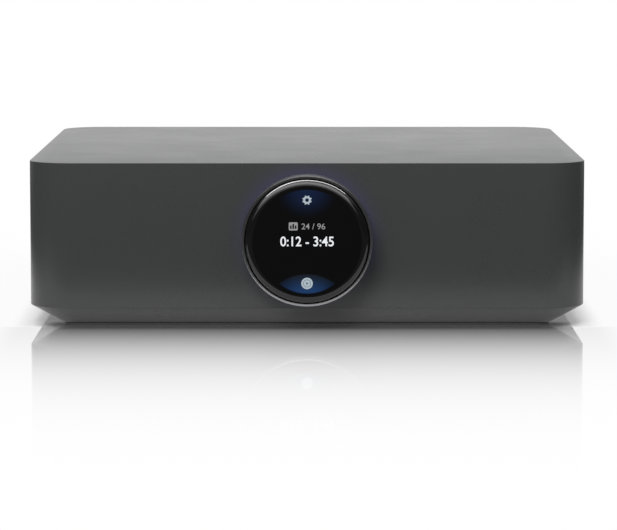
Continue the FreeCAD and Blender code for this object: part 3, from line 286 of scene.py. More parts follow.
class Finish(ShaderTree):
    """A material with one Principled shader."""

    def __init__(self, name, roughness=0.5, metallic=0.0, **constants):
        self.material = bpy.data.materials.new(name)
        self.material.use_nodes = True
        super().__init__(self.material.node_tree)
        self.shader = self.nodes["Principled BSDF"]
        self.output = self.nodes["Material Output"]
        self.set("Roughness", roughness)
        self.set("Metallic", metallic)
        for socket, value in constants.items():
            self.set(socket.replace("_", " "), value)

    def set(self, name, value):
        self.feed(self.shader.inputs[name], value)

    def glow(self, colour):
        """Light that the surface gives off by itself."""
        self.set("Emission Color", colour)
        self.set("Emission Strength", 1.0)

    def place(self):
        """The object's own coordinates, in metres, from the frame's origin."""
        return self.add("ShaderNodeTexCoord", {}, {}, "Object")

    def axes(self):
        return self.split(self.place())

    def vector(self, x, y, z):
        return self.add("ShaderNodeCombineXYZ", {}, {0: x, 1: y, 2: z})

    def surface(self):
        return Signal(self, self.shader.outputs[0])

    def light(self, strength):
        return self.add("ShaderNodeEmission", {}, {"Color": (1, 1, 1), "Strength": strength})

    def over(self, first, second):
        """Two shaders added up."""
        return self.add("ShaderNodeAddShader", {}, {0: first, 1: second})

    def blend(self, share, first, second):
        """One shader fading into another."""
        return self.add("ShaderNodeMixShader", {}, {0: share, 1: first, 2: second})

    def noise(self, scale, detail, roughness=0.55):
        values = {"Vector": self.place(), "Scale": scale, "Detail": detail, "Roughness": roughness}
        return self.add("ShaderNodeTexNoise", {}, values, "Fac")

    def streaks(self, along, scale):
        """Noise that changes with one value alone, such as turning marks or a brushed grain."""
        values = {"W": along, "Scale": scale, "Detail": 4.0}
        return self.add("ShaderNodeTexNoise", {"noise_dimensions": "1D"}, values, "Fac")

    def cells(self, scale, vector=None):
        values = {"Vector": vector or self.place(), "Scale": scale}
        return self.add("ShaderNodeTexVoronoi", {}, values, "Distance")

    def mix(self, share, first, second):
        """A colour between two colours."""
        return self.add("ShaderNodeMix", {"data_type": "RGBA"}, {0: share, 6: first, 7: second}, 2)

    def bump(self, height, depth, strength=1.0):
        values = {"Strength": strength, "Distance": depth, "Height": height}
        self.set("Normal", self.add("ShaderNodeBump", {}, values))


def tinted(colour, share):
    return [channel * share for channel in colour]


def grained(name, colour, other, grain, depth, roughness, **constants):
    """A moulded or coated surface: fine grain in the relief, faint clouds in the colour and the gloss."""
    finish = Finish(name, **constants)
    fine = finish.noise(grain, 4, 0.6)
    clouds = finish.noise(35, 3)
    finish.set("Base Color", finish.mix(clouds * 0.7 + fine * 0.3, colour, other))
    finish.set("Roughness", roughness + (clouds - 0.5) * 0.12 + (fine - 0.5) * 0.1)
    finish.bump(fine, depth)
    return finish


def moulded(name, colour, roughness, **constants):
    """A plain moulding: a soft sheen, faint flow marks and a fine grain."""
    lighter = [min(1, channel * 1.25 + 0.004) for channel in colour]
    return grained(name, colour, lighter, 2600, 0.01 * MM, roughness, **constants)


def case_coat():
    """Satin coat over metal, with painted light round the dial: the coat itself glows blue there, brighter
    above.
    """
    case = bpy.context.scene.amplifier_case
    coat = list(case.coat)
    finish = grained("case_coat", coat, tinted(coat, 1.1), 4200, 0.008 * MM, 0.29)
    x, y, z = finish.axes()
    # Painted light: a blue glow on the case's front that fades out from the dial's rim and is stronger above
    front = y < CASE_LOW.y + 0.5 * MM
    fade = from_axis(x, z, DIAL_CENTRE).ramp(DIAL_RADIUS + 9 * MM, DIAL_RADIUS - 2 * MM)
    upper = (z - DIAL_CENTRE.z).ramp(-26 * MM, 30 * MM) * 0.85 + 0.15
    finish.glow(finish.mix(front * fade * fade * upper, (0, 0, 0), list(case.halo)))
    finish.set("Specular IOR Level", 0.55)
    return finish.material


def dial_metal():
    """Metal turned on a lathe: fine rings round the dial's axis."""
    colour = list(bpy.context.scene.amplifier_dial.metal)
    finish = Finish("dial_metal", metallic=1.0)
    x, y, z = finish.axes()
    rings = finish.streaks(from_axis(x, z, DIAL_CENTRE) + y, 9000)
    clouds = finish.noise(60, 2)
    finish.set("Base Color", finish.mix(rings * 0.6 + clouds * 0.4, colour, tinted(colour, 1.25)))
    finish.set("Roughness", 0.32 + (rings - 0.5) * 0.12)
    finish.bump(rings, 0.004 * MM)
    return finish.material


def brushed_metal(name, colour, roughness, axis):
    """Sheet or bar with a straight brushed grain across one axis."""
    finish = Finish(name, metallic=1.0)
    lines = finish.streaks(finish.axes()["XYZ".index(axis)], 7000)
    spots = finish.noise(90, 4)
    finish.set("Base Color", finish.mix(lines * 0.5 + spots * 0.5, colour, tinted(colour, 0.82)))
    finish.set("Roughness", roughness + (lines - 0.5) * 0.2 + (spots - 0.5) * 0.1)
    finish.bump(lines, 0.004 * MM)
    return finish.material


def front_glass():
    """Black glass over the lit screen: a blue glow above, a blue lens below."""
    flat_radius = GLASS_RADIUS - bpy.context.scene.amplifier_dial.dome
    finish = Finish("cover_glass", roughness=0.3)
    finish.set("Specular IOR Level", 0.0)
    finish.set("Coat Roughness", 0.09)
    smears = finish.noise(90, 3)
    finish.set("Base Color", finish.mix(smears, (0.0045, 0.0046, 0.0046), (0.006, 0.006, 0.0062)))
    x, y, z = finish.axes()
    up = z - PICTURE_MIDDLE.z
    rounding = from_axis(x, z, DIAL_CENTRE).ramp(flat_radius - 0.2 * MM, flat_radius + 0.2 * MM)
    finish.set("Coat Weight", 0.08 + rounding * 0.92)

    def patch(rise, radius, soft):
        """A round patch of the picture, soft at its rim, whose middle lies higher by the rise."""
        return hypotenuse(x, up - rise).ramp(radius, radius - soft)

    front = y < GLASS_FRONT + 0.4 * MM
    lit_screen = patch(0, 19.9 * MM, 0.5 * MM)
    above = hypotenuse(x * 0.866, up - 18.5 * MM).ramp(10.5 * MM, 0.5 * MM) * lit_screen
    glow = finish.mix(above * front, (0, 0, 0), (0.0035, 0.0105, 0.038))
    below = patch(-31.1 * MM, 18.7 * MM, 0.8 * MM) * patch(-3.2 * MM, 17.2 * MM, 0.7 * MM)
    middle = x.size().ramp(12.5 * MM, 2 * MM) * 0.85 + 0.15
    lens = finish.mix(up.ramp(-13 * MM, -19.5 * MM), (0.007, 0.0115, 0.021), (0.0095, 0.037, 0.115))
    finish.glow(finish.mix(below * middle * front, glow, lens))
    return finish.material


def woven(x, z, pitch):
    """A fine square grid that goes from -1 to 1."""
    return (x * (TURN / pitch)).sine() * (z * (TURN / pitch)).sine()


def lit_ink(name, colour):
    """A lit colour of the screen, with the cells of the panel just visible."""
    finish = Finish(name, roughness=0.3)
    ink = list(colour)
    x, y, z = finish.axes()
    finish.set("Base Color", (0.02, 0.02, 0.02))
    finish.glow(finish.mix(woven(x, z, 0.13 * MM).ramp(-0.6, 0.6), tinted(ink, 0.9), ink))
    return finish.material


def screen_cell():
    finish = moulded("screen", (0.01, 0.01, 0.012), 0.2)
    x, y, z = finish.axes()
    grid = woven(x, z, 0.4 * MM).ramp(-1, 1)
    finish.set("Base Color", finish.mix(grid, (0.006, 0.006, 0.008), (0.014, 0.015, 0.02)))
    return finish.material


def guide_plastic():
    """Milky plastic with the lamps' light in it."""
    finish = moulded("light_guide", (0.6, 0.6, 0.72), 0.35)
    milk = finish.noise(400, 3)
    finish.glow(finish.mix(milk, (0.035, 0.028, 0.16), (0.05, 0.042, 0.22)))
    return finish.material


def lamp_plastic():
    finish = moulded("lamp", (0.85, 0.86, 0.8), 0.3)
    bright = finish.noise(1500, 2)
    finish.glow(finish.mix(bright, (0.4, 0.35, 0.9), (0.6, 0.55, 1.0)))
    return finish.material


def solder_mask():
    """Green board: copper tracks under the mask, and bare pads."""
    finish = Finish("circuit_board", roughness=0.32)
    x, y, z = finish.axes()
    plane = finish.vector(x + z * 0.3, y + z * 0.2, 0)
    values = {"Vector": plane, "Scale": 140, "Mortar Size": 0.08, "Brick Width": 0.9, "Row Height": 0.22}
    tracks = finish.add("ShaderNodeTexBrick", {"offset": 0.5}, values, "Fac")
    pads = finish.cells(420, plane) < 0.16
    clouds = finish.noise(60, 2)
    green = finish.mix(tracks, (0.008, 0.075, 0.028), (0.014, 0.13, 0.045))
    green = finish.mix(clouds * 0.4, green, (0.006, 0.05, 0.02))
    finish.set("Base Color", finish.mix(pads, green, (0.62, 0.5, 0.22)))
    finish.set("Metallic", pads * 0.9)
    finish.set("Roughness", 0.35 + clouds * 0.1)
    finish.bump(tracks + pads, 0.03 * MM, 0.6)
    return finish.material


def polyimide():
    finish = moulded("ribbon", (0.42, 0.19, 0.04), 0.35)
    x, y, z = finish.axes()
    lines = (x * (TURN / (0.8 * MM))).sine().ramp(-0.1, 0.3)
    finish.set("Base Color", finish.mix(lines, (0.30, 0.12, 0.02), (0.55, 0.27, 0.07)))
    return finish.material


def wound_copper():
    finish = Finish("coil_copper", metallic=0.85, roughness=0.35)
    x, y, z = finish.axes()
    turn = (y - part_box("mains_choke")[0].y).angle(x)
    wires = (turn * 260).sine()
    clouds = finish.noise(200, 2)
    finish.set("Base Color", finish.mix(wires.ramp(-1, 1), (0.22, 0.07, 0.02), (0.62, 0.27, 0.1)))
    finish.set("Roughness", 0.3 + clouds * 0.15)
    finish.bump(wires, 0.1 * MM)
    return finish.material


def sleeve():
    finish = moulded("can_sleeve", (0.02, 0.028, 0.07), 0.3)
    x, y, z = finish.axes()
    stripe_place = 66 * MM
    stripe = (x - stripe_place).size() < 2.2 * MM
    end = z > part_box("storage_capacitors")[1].z - 0.4 * MM
    body = finish.mix(stripe, (0.02, 0.028, 0.07), (0.35, 0.37, 0.42))
    finish.set("Base Color", finish.mix(end, body, (0.6, 0.6, 0.62)))
    return finish.material


def silicone():
    return grained("foot_silicone", (0.15, 0.151, 0.15), (0.17, 0.171, 0.17), 1500, 0.03 * MM, 0.6).material


def panel_plastic():
    """Black moulding from a spark-eroded tool: a coarse even grain with shallow pits."""
    finish = Finish("panel_plastic")
    pits = finish.cells(2400)
    fine = finish.noise(5200, 3)
    clouds = finish.noise(30, 3)
    shade = finish.mix(clouds * 0.6 + pits * 0.4, (0.019, 0.019, 0.0205), (0.03, 0.03, 0.032))
    finish.set("Base Color", shade)
    finish.set("Roughness", 0.5 + (fine - 0.5) * 0.15 + (clouds - 0.5) * 0.1)
    finish.bump(pits * 0.7 + fine * 0.3, 0.04 * MM)
    return finish.material


def printed_ink():
    """Pale print on the rear panel, a little thin where the panel's grain is high."""
    finish = Finish("print_ink", roughness=0.55)
    grain = finish.noise(3800, 3)
    finish.set("Base Color", finish.mix(grain.ramp(0.3, 0.7), (0.42, 0.42, 0.42), (0.62, 0.62, 0.61)))
    finish.bump(grain, 0.01 * MM)
    return finish.material


def sintered():
    return grained("ferrite", (0.04, 0.04, 0.042), (0.075, 0.075, 0.078), 1800, 0.06 * MM, 0.65).material


def bonded_magnet():
    return grained("magnet_rubber", (0.05, 0.046, 0.042), (0.07, 0.066, 0.06), 1700, 0.03 * MM, 0.7).material


def chip_epoxy():
    return grained("chip_epoxy", (0.02, 0.02, 0.02), (0.032, 0.032, 0.032), 2600, 0.02 * MM, 0.6).material


FINISHES = {
    "case_coat": case_coat,
    "bare_aluminium": lambda: brushed_metal("bare_aluminium", (0.7, 0.7, 0.72), 0.36, "X"),
    "foot_silicone": silicone,
    "panel_plastic": panel_plastic,
    "dark_screw": lambda: brushed_metal("dark_screw", (0.07, 0.07, 0.075), 0.35, "Z"),
    "steel_screw": lambda: brushed_metal("steel_screw", (0.58, 0.58, 0.6), 0.3, "X"),
    "dial_metal": dial_metal,
    "bush_plastic": lambda: moulded("bush_plastic", (0.7, 0.69, 0.64), 0.45).material,
    "magnet_rubber": bonded_magnet,
    "light_guide": guide_plastic,
    "circuit_board": solder_mask,
    "lamp": lamp_plastic,
    "carrier_plastic": lambda: moulded("carrier_plastic", (0.028, 0.028, 0.028), 0.55).material,
    "screen": screen_cell,
    "cover_glass": front_glass,
    "ribbon": polyimide,
    "terminal_metal": lambda: brushed_metal("terminal_metal", (0.72, 0.54, 0.22), 0.22, "Y"),
    "terminal_red": lambda: moulded("terminal_red", (0.36, 0.012, 0.012), 0.3, Coat_Weight=0.3).material,
    "terminal_black": lambda: moulded("terminal_black", (0.016, 0.016, 0.017), 0.3, Coat_Weight=0.3).material,
    "phono_white": lambda: moulded("phono_white", (0.72, 0.72, 0.7), 0.35).material,
    "plated_steel": lambda: brushed_metal("plated_steel", (0.52, 0.52, 0.53), 0.28, "X"),
    "socket_plastic": lambda: moulded("socket_plastic", (0.016, 0.016, 0.018), 0.42).material,
    "chip_epoxy": chip_epoxy,
    "coil_copper": wound_copper,
    "ferrite": sintered,
    "can_sleeve": sleeve,
}
made_finishes = {}


def finish_of(slot):
    if slot not in made_finishes:
        made_finishes[slot] = FINISHES[slot]()
    return made_finishes[slot]


def clear_selection():
    if bpy.context.mode != "OBJECT":
        bpy.ops.object.mode_set(mode="OBJECT")
    bpy.ops.object.select_all(action="DESELECT")


def adopt(name):
    piece = bpy.context.active_object
    piece.name = name
    piece.data.name = name
    return piece


def only(piece):
    clear_selection()
    piece.select_set(True)
    bpy.context.view_layer.objects.active = piece


def pick(piece, wanted, kind="FACE"):
    """In edit mode, selects the faces, edges or points that wanted() says, and nothing else."""
    bpy.ops.mesh.select_mode(type=kind)
    bpy.ops.mesh.select_all(action="DESELECT")
    mesh = bmesh.from_edit_mesh(piece.data)
    found = 0
    for item in {"FACE": mesh.faces, "EDGE": mesh.edges, "VERT": mesh.verts}[kind]:
        if wanted(item):
            item.select_set(True)
            found += 1
    mesh.select_flush_mode()
    bmesh.update_edit_mesh(piece.data)
    if not found:
        raise RuntimeError(f"{piece.name}: nothing to select")


def upright(edge):
    return abs(edge.verts[0].co.z - edge.verts[1].co.z) > 0.1 * MM


def smooth(piece, angle=30):
    """Shades the piece smooth, apart from edges sharper than the angle in degrees."""
    only(piece)
    bpy.ops.object.shade_smooth_by_angle(angle=math.radians(angle))


def soften(piece, width, segments, angle):
    """Rounds the piece's sharp edges and shades the rest smooth."""
    only(piece)
    bevel = piece.modifiers.new("edges", "BEVEL")
    bevel.width = width
    bevel.segments = segments
    bevel.limit_method = "ANGLE"
    bevel.angle_limit = math.radians(angle)
    bevel.use_clamp_overlap = True
    bpy.ops.object.modifier_apply(modifier=bevel.name)
    smooth(piece, angle)


def dress(piece, body, slot, *nodes, material=None):
    """Gives a finished piece its place, its finish, its body and the nodes that it stands for."""
    only(piece)
    bpy.ops.object.transform_apply(location=True, rotation=True, scale=True)
    piece.data.materials.clear()
    piece.data.materials.append(material or finish_of(slot))
    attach(piece, body)
    if nodes:
        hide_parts(*nodes)


def lathe(name, profile, centre, steps):
    """Spins a closed profile of (distance from the axis, place along Y) round an axis that runs along Y."""
    clear_selection()
    radius, along = profile[0]
    bpy.ops.mesh.primitive_plane_add(size=MM, location=(centre.x + radius, along, centre.z))
    piece = adopt(name)
    bpy.ops.object.transform_apply(location=True, rotation=True, scale=True)
    bpy.ops.object.mode_set(mode="EDIT")
    bpy.ops.mesh.select_mode(type="VERT")
    bpy.ops.mesh.select_all(action="SELECT")
    bpy.ops.mesh.merge(type="CENTER")
    for next_radius, next_along in profile[1:] + profile[:1]:
        step = (next_radius - radius, next_along - along, 0)
        bpy.ops.mesh.extrude_vertices_move(TRANSFORM_OT_translate={"value": step})
        radius, along = next_radius, next_along
    bpy.ops.mesh.select_all(action="SELECT")
    bpy.ops.mesh.spin(steps=steps, angle=TURN, center=(centre.x, 0, centre.z), axis=(0, 1, 0))
    bpy.ops.mesh.select_all(action="SELECT")
    bpy.ops.mesh.remove_doubles(threshold=0.001 * MM)
    bpy.ops.mesh.dissolve_degenerate(threshold=0.0001 * MM)
    bpy.ops.mesh.normals_make_consistent(inside=False)
    bpy.ops.object.mode_set(mode="OBJECT")
    return piece


def arc(middle_radius, middle_along, radius, start, end, steps):
    """Points of a round stretch of a profile, from one angle to another, in degrees."""
    points = []
    for step in range(steps + 1):
        angle = math.radians(start + (end - start) * step / steps)
        points.append((middle_radius + radius * math.cos(angle), middle_along + radius * math.sin(angle)))
    return points


def flat_text(name, words, size, weight):
    """Words as a flat mesh round the origin, exactly as wide and high as the size says."""
    clear_selection()
    bpy.ops.object.text_add()
    text = adopt(name)
    text.data.body = words
    capital_share = 0.7
    text.data.size = size[1] / capital_share
    text.data.offset = weight * size[1]
    text.data.resolution_u = 6
    bpy.ops.object.convert(target="MESH")
    text = bpy.context.active_object
    bpy.ops.object.origin_set(type="ORIGIN_GEOMETRY", center="BOUNDS")
    text.location = (0, 0, 0)
    text.scale = (size[0] / text.dimensions.x, size[1] / text.dimensions.y, 1)
    bpy.ops.object.transform_apply(location=True, rotation=True, scale=True)
    return text


class AMPLIFIER_OT_stage(bpy.types.Operator):
    """Adds the floor, the light and the camera"""
    bl_idname = "amplifier.stage"
    bl_label = "Stage"

    def execute(self, context):
        stage = context.scene.amplifier_stage
        clear_selection()
        self.add_camera(context, stage)
        self.add_world(context)
        self.add_lamps()
        self.add_floor(stage)
        context.scene.view_settings.view_transform = "Standard"
        return {"FINISHED"}

    def add_camera(self, context, stage):
        turn = (math.pi / 2 - stage.pitch, 0, 0)
        bpy.ops.object.camera_add(location=(stage.aside, -stage.distance, stage.height), rotation=turn)
        camera = context.active_object
        camera.name = "camera"
        camera.data.lens = stage.lens
        camera.data.sensor_width = 36
        context.scene.camera = camera

    def add_world(self, context):
        """White to the camera, a plain level on the object, darker where the photographer stands."""
        world = bpy.data.worlds.new("studio")
        context.scene.world = world
        world.use_nodes = True
        sky = ShaderTree(world.node_tree)
        x, y, z = sky.split(sky.add("ShaderNodeTexCoord", {}, {}, "Generated"))
        behind = y.ramp(0.3, 0.95) * 0.77
        narrow = x.size().ramp(0.85, 0.3) * 0.85 + 0.15
        above = z.ramp(0.45, 1.0) * 1.65 + 0.05
        path = sky.light_path()
        level = sky.between(path("Is Diffuse Ray"), behind * narrow + above, 0.32)
        level = sky.between(path("Is Camera Ray"), level, 1.0)
        background = sky.nodes["Background"]
        sky.feed(background.inputs["Strength"], level)
        sky.feed(background.inputs["Color"], (1, 1, 1))

    def add_lamps(self):
        """Two soft lamps for the whole object, and three that only the glass mirrors."""
        self.add_lamp("overhead", place=(0, -0.05, 0.9), size=(0.9, 0.6), power=3.3, glossy=False)
        self.add_lamp("fill", place=(-0.35, -1.5, 1.0), size=(0.8, 0.6), power=18.5, glossy=False)
        glass = bpy.data.collections.new("glass_only")
        glass.objects.link(bpy.data.objects["screen_glass"])
        mirrored = {"strip": ((-0.05, 0.2, 0.9), (1.7, 0.24), 23.0),
                    "haze": ((-0.1, -0.6, 0.85), (2.2, 0.55), 12.0),
                    "glow": ((-0.15, -1.0, 0.62), (2.4, 0.5), 4.5)}
        for name, (place, size, power) in mirrored.items():
            lamp = self.add_lamp(name, place, size, power, diffuse=False)
            lamp.light_linking.receiver_collection = glass

    def add_lamp(self, name, place, size, power, diffuse=True, glossy=True):
        """A soft rectangular lamp that points at the front of the case."""
        aim = Vector((0, -0.05, 0.03))
        turn = (aim - Vector(place)).to_track_quat("-Z", "Y").to_euler()
        bpy.ops.object.light_add(type="AREA", location=place, rotation=turn)
        lamp = bpy.context.active_object
        lamp.name = name
        lamp.data.shape = "RECTANGLE"
        lamp.data.size, lamp.data.size_y = size
        lamp.data.energy = power
        lamp.visible_diffuse = diffuse
        lamp.visible_glossy = glossy
        return lamp

    def add_floor(self, stage):
        clear_selection()
        bpy.ops.mesh.primitive_grid_add(x_subdivisions=8, y_subdivisions=8, size=stage.floor_size,
                                        location=(0, 0, -0.05 * MM))
        floor = adopt("floor")
        bpy.ops.object.transform_apply(location=True, rotation=True, scale=True)
        floor.data.materials.append(self.floor_finish())

    def floor_finish(self):
        """A white polished table: a mirror near the object that dies away, the object's shadow, and a painted
        contact shadow in front of the foot.
        """
        finish = Finish("floor", roughness=0.6)
        finish.set("Specular IOR Level", 0.0)
        x, y, z = finish.axes()
        aside = x.size()
        out_x = (aside - FOOT_HIGH.x).at_least(0)
        out_y = (y.size() - FOOT_HIGH.y).at_least(0)
        distance = hypotenuse(out_x, out_y)
        path = finish.light_path()
        camera = path("Is Camera Ray")
        glossy = path("Is Glossy Ray")
        finish.set("Base Color", finish.mix(path("Is Diffuse Ray"), (0.76, 0.76, 0.76), (0.22, 0.22, 0.22)))

        # The table's own light, a little stronger where the chamfer mirrors it
        near = distance.ramp(16 * MM, 8 * MM)
        table = finish.over(finish.surface(), finish.light(camera * 0.15 + glossy * (near * 0.05 + 0.22)))

        # Painted shadow: the dark line where the foot stands, put on the floor for the camera alone, in front
        # of the case
        painted_contact_shadow = hypotenuse(out_x, out_y * 0.6).ramp(12.5 * MM, 3 * MM)
        painted_contact_shadow = painted_contact_shadow * y.ramp(CASE_LOW.y + 24 * MM, CASE_LOW.y + 14 * MM)
        table = finish.blend(camera * painted_contact_shadow * 0.86, table, finish.light(0.015))

        # White farther off, and dim in the front and at the sides for what the object mirrors
        table = finish.blend(camera * distance.ramp(10 * MM, 23 * MM), table, finish.light(1))
        dim = (y < CASE_LOW.y - 55 * MM).at_least(aside.ramp(160 * MM, 290 * MM))
        table = finish.blend(glossy * dim, table, finish.light(0.1))

        # The mirror is clear in front of the case, faint elsewhere, and dies away over its reach
        reach = 96 * MM
        front = y.ramp(CASE_LOW.y + 9 * MM, CASE_LOW.y + MM)
        front = front * aside.ramp(CASE_HIGH.x + 16 * MM, CASE_HIGH.x + MM)
        share = ((distance / reach) ** 1.35 * -1).maths("EXPONENT") * distance.ramp(500 * MM, 300 * MM)
        share = share * (front * 0.73 + 0.24) * camera
        mirror = finish.add("ShaderNodeBsdfGlossy", {}, {"Roughness": 0.02, "Color": (1, 1, 1)})
        finish.feed(finish.output.inputs[0], finish.blend(share, table, mirror))
        return finish.material


class AMPLIFIER_OT_case_shell(bpy.types.Operator):
    """Models the case's shell: upright corners, a chamfer below, the base's and the rear panel's openings"""
    bl_idname = "amplifier.case_shell"
    bl_label = "Case shell"

    def execute(self, context):
        case = context.scene.amplifier_case
        waist = CASE_LOW.z + case.chamfer_rise
        clear_selection()
        size = CASE_HIGH - CASE_LOW
        bpy.ops.mesh.primitive_cube_add(size=1, location=(0, 0, (waist + CASE_HIGH.z) / 2),
                                        scale=(size.x, size.y, CASE_HIGH.z - waist))
        shell = adopt("case_shell")
        bpy.ops.object.transform_apply(location=True, rotation=True, scale=True)
        bpy.ops.object.mode_set(mode="EDIT")
        pick(shell, upright, "EDGE")
        bpy.ops.mesh.bevel(offset=case.corner, segments=18, affect="EDGES")
        pick(shell, lambda face: face.normal.z < -0.9)
        bpy.ops.mesh.inset(thickness=case.chamfer_inset, depth=case.chamfer_rise)
        rim = CASE_HIGH.x - case.chamfer_inset - PLATE_HIGH.x
        bpy.ops.mesh.inset(thickness=rim, depth=0)
        bpy.ops.mesh.delete(type="FACE")
        self.cut_rear_window(shell)
        bpy.ops.object.mode_set(mode="OBJECT")
        wall = shell.modifiers.new("wall", "SOLIDIFY")
        wall.thickness = case.wall
        wall.offset = -1
        wall.use_even_offset = True
        bpy.ops.object.modifier_apply(modifier=wall.name)
        soften(shell, case.edge, 3, 25)
        dress(shell, "case", "case_coat", "top_case")
        return {"FINISHED"}

    def cut_rear_window(self, shell):
        sides = [((PANEL_LOW.x, 0, 0), (1, 0, 0)), ((PANEL_HIGH.x, 0, 0), (1, 0, 0)),
                 ((0, 0, PANEL_LOW.z), (0, 0, 1)), ((0, 0, PANEL_HIGH.z), (0, 0, 1))]
        for place, normal in sides:
            pick(shell, lambda face: face.normal.y > 0.99)
            bpy.ops.mesh.bisect(plane_co=place, plane_no=normal)
        pick(shell, lambda face: face.normal.y > 0.99 and abs(face.calc_center_median().x) < PANEL_HIGH.x
             and PANEL_LOW.z < face.calc_center_median().z < PANEL_HIGH.z)
        bpy.ops.mesh.delete(type="FACE")


class AMPLIFIER_OT_foot(bpy.types.Operator):
    """Models the thin pad under the case"""
    bl_idname = "amplifier.foot"
    bl_label = "Foot"

    def execute(self, context):
        case = context.scene.amplifier_case
        clear_selection()
        size = FOOT_HIGH - FOOT_LOW
        bpy.ops.mesh.primitive_cube_add(size=1, location=(FOOT_LOW + FOOT_HIGH) / 2, scale=size)
        pad = adopt("foot_sheet")
        bpy.ops.object.transform_apply(location=True, rotation=True, scale=True)
        bpy.ops.object.mode_set(mode="EDIT")
        pick(pad, upright, "EDGE")
        bpy.ops.mesh.bevel(offset=case.corner - case.chamfer_inset + MM, segments=8, affect="EDGES")
        bpy.ops.object.mode_set(mode="OBJECT")
        soften(pad, 0.15 * MM, 2, 40)
        dress(pad, "case", "foot_silicone", "foot_pad")
        return {"FINISHED"}


class AMPLIFIER_OT_dial(bpy.types.Operator):
    """Models the turned ring and the domed glass that it goes round"""
    bl_idname = "amplifier.dial"
    bl_label = "Dial"

    def execute(self, context):
        dial = context.scene.amplifier_dial
        self.make_ring(dial)
        self.make_glass(dial)
        return {"FINISHED"}

    def make_ring(self, dial):
        back = RING_HIGH.y
        front = RING_LOW.y
        bore = GLASS_RADIUS + dial.gap
        web = front + dial.web
        width, depth = dial.bevel
        ease = dial.ease
        outer = DIAL_RADIUS
        lip = outer - 0.04 * MM
        profile = [(dial.rear_bore, back), (dial.rear_bore, web), (bore, web), (bore, front + ease)]
        profile += [(bore + ease, front), (lip - width, front)]
        profile += [(lip, front + depth), (outer, front + depth + ease)]
        profile += arc(outer - dial.edge, back - dial.edge, dial.edge, 0, 90, 6)
        ring = lathe("dial_rim", profile, DIAL_CENTRE, 160)
        smooth(ring)
        dress(ring, "dial", "dial_metal", "dial_ring")

    def make_glass(self, dial):
        back = GLASS_HIGH.y
        rear_edge = 0.2 * MM
        profile = [(0, back), (0, GLASS_FRONT)]
        profile += arc(GLASS_RADIUS - dial.dome, GLASS_FRONT + dial.dome, dial.dome, -90, 0, 16)
        profile += arc(GLASS_RADIUS - rear_edge, back - rear_edge, rear_edge, 0, 90, 3)
        glass = lathe("screen_glass", profile, DIAL_CENTRE, 160)
        smooth(glass)
        dress(glass, "case", "cover_glass", "cover_glass")


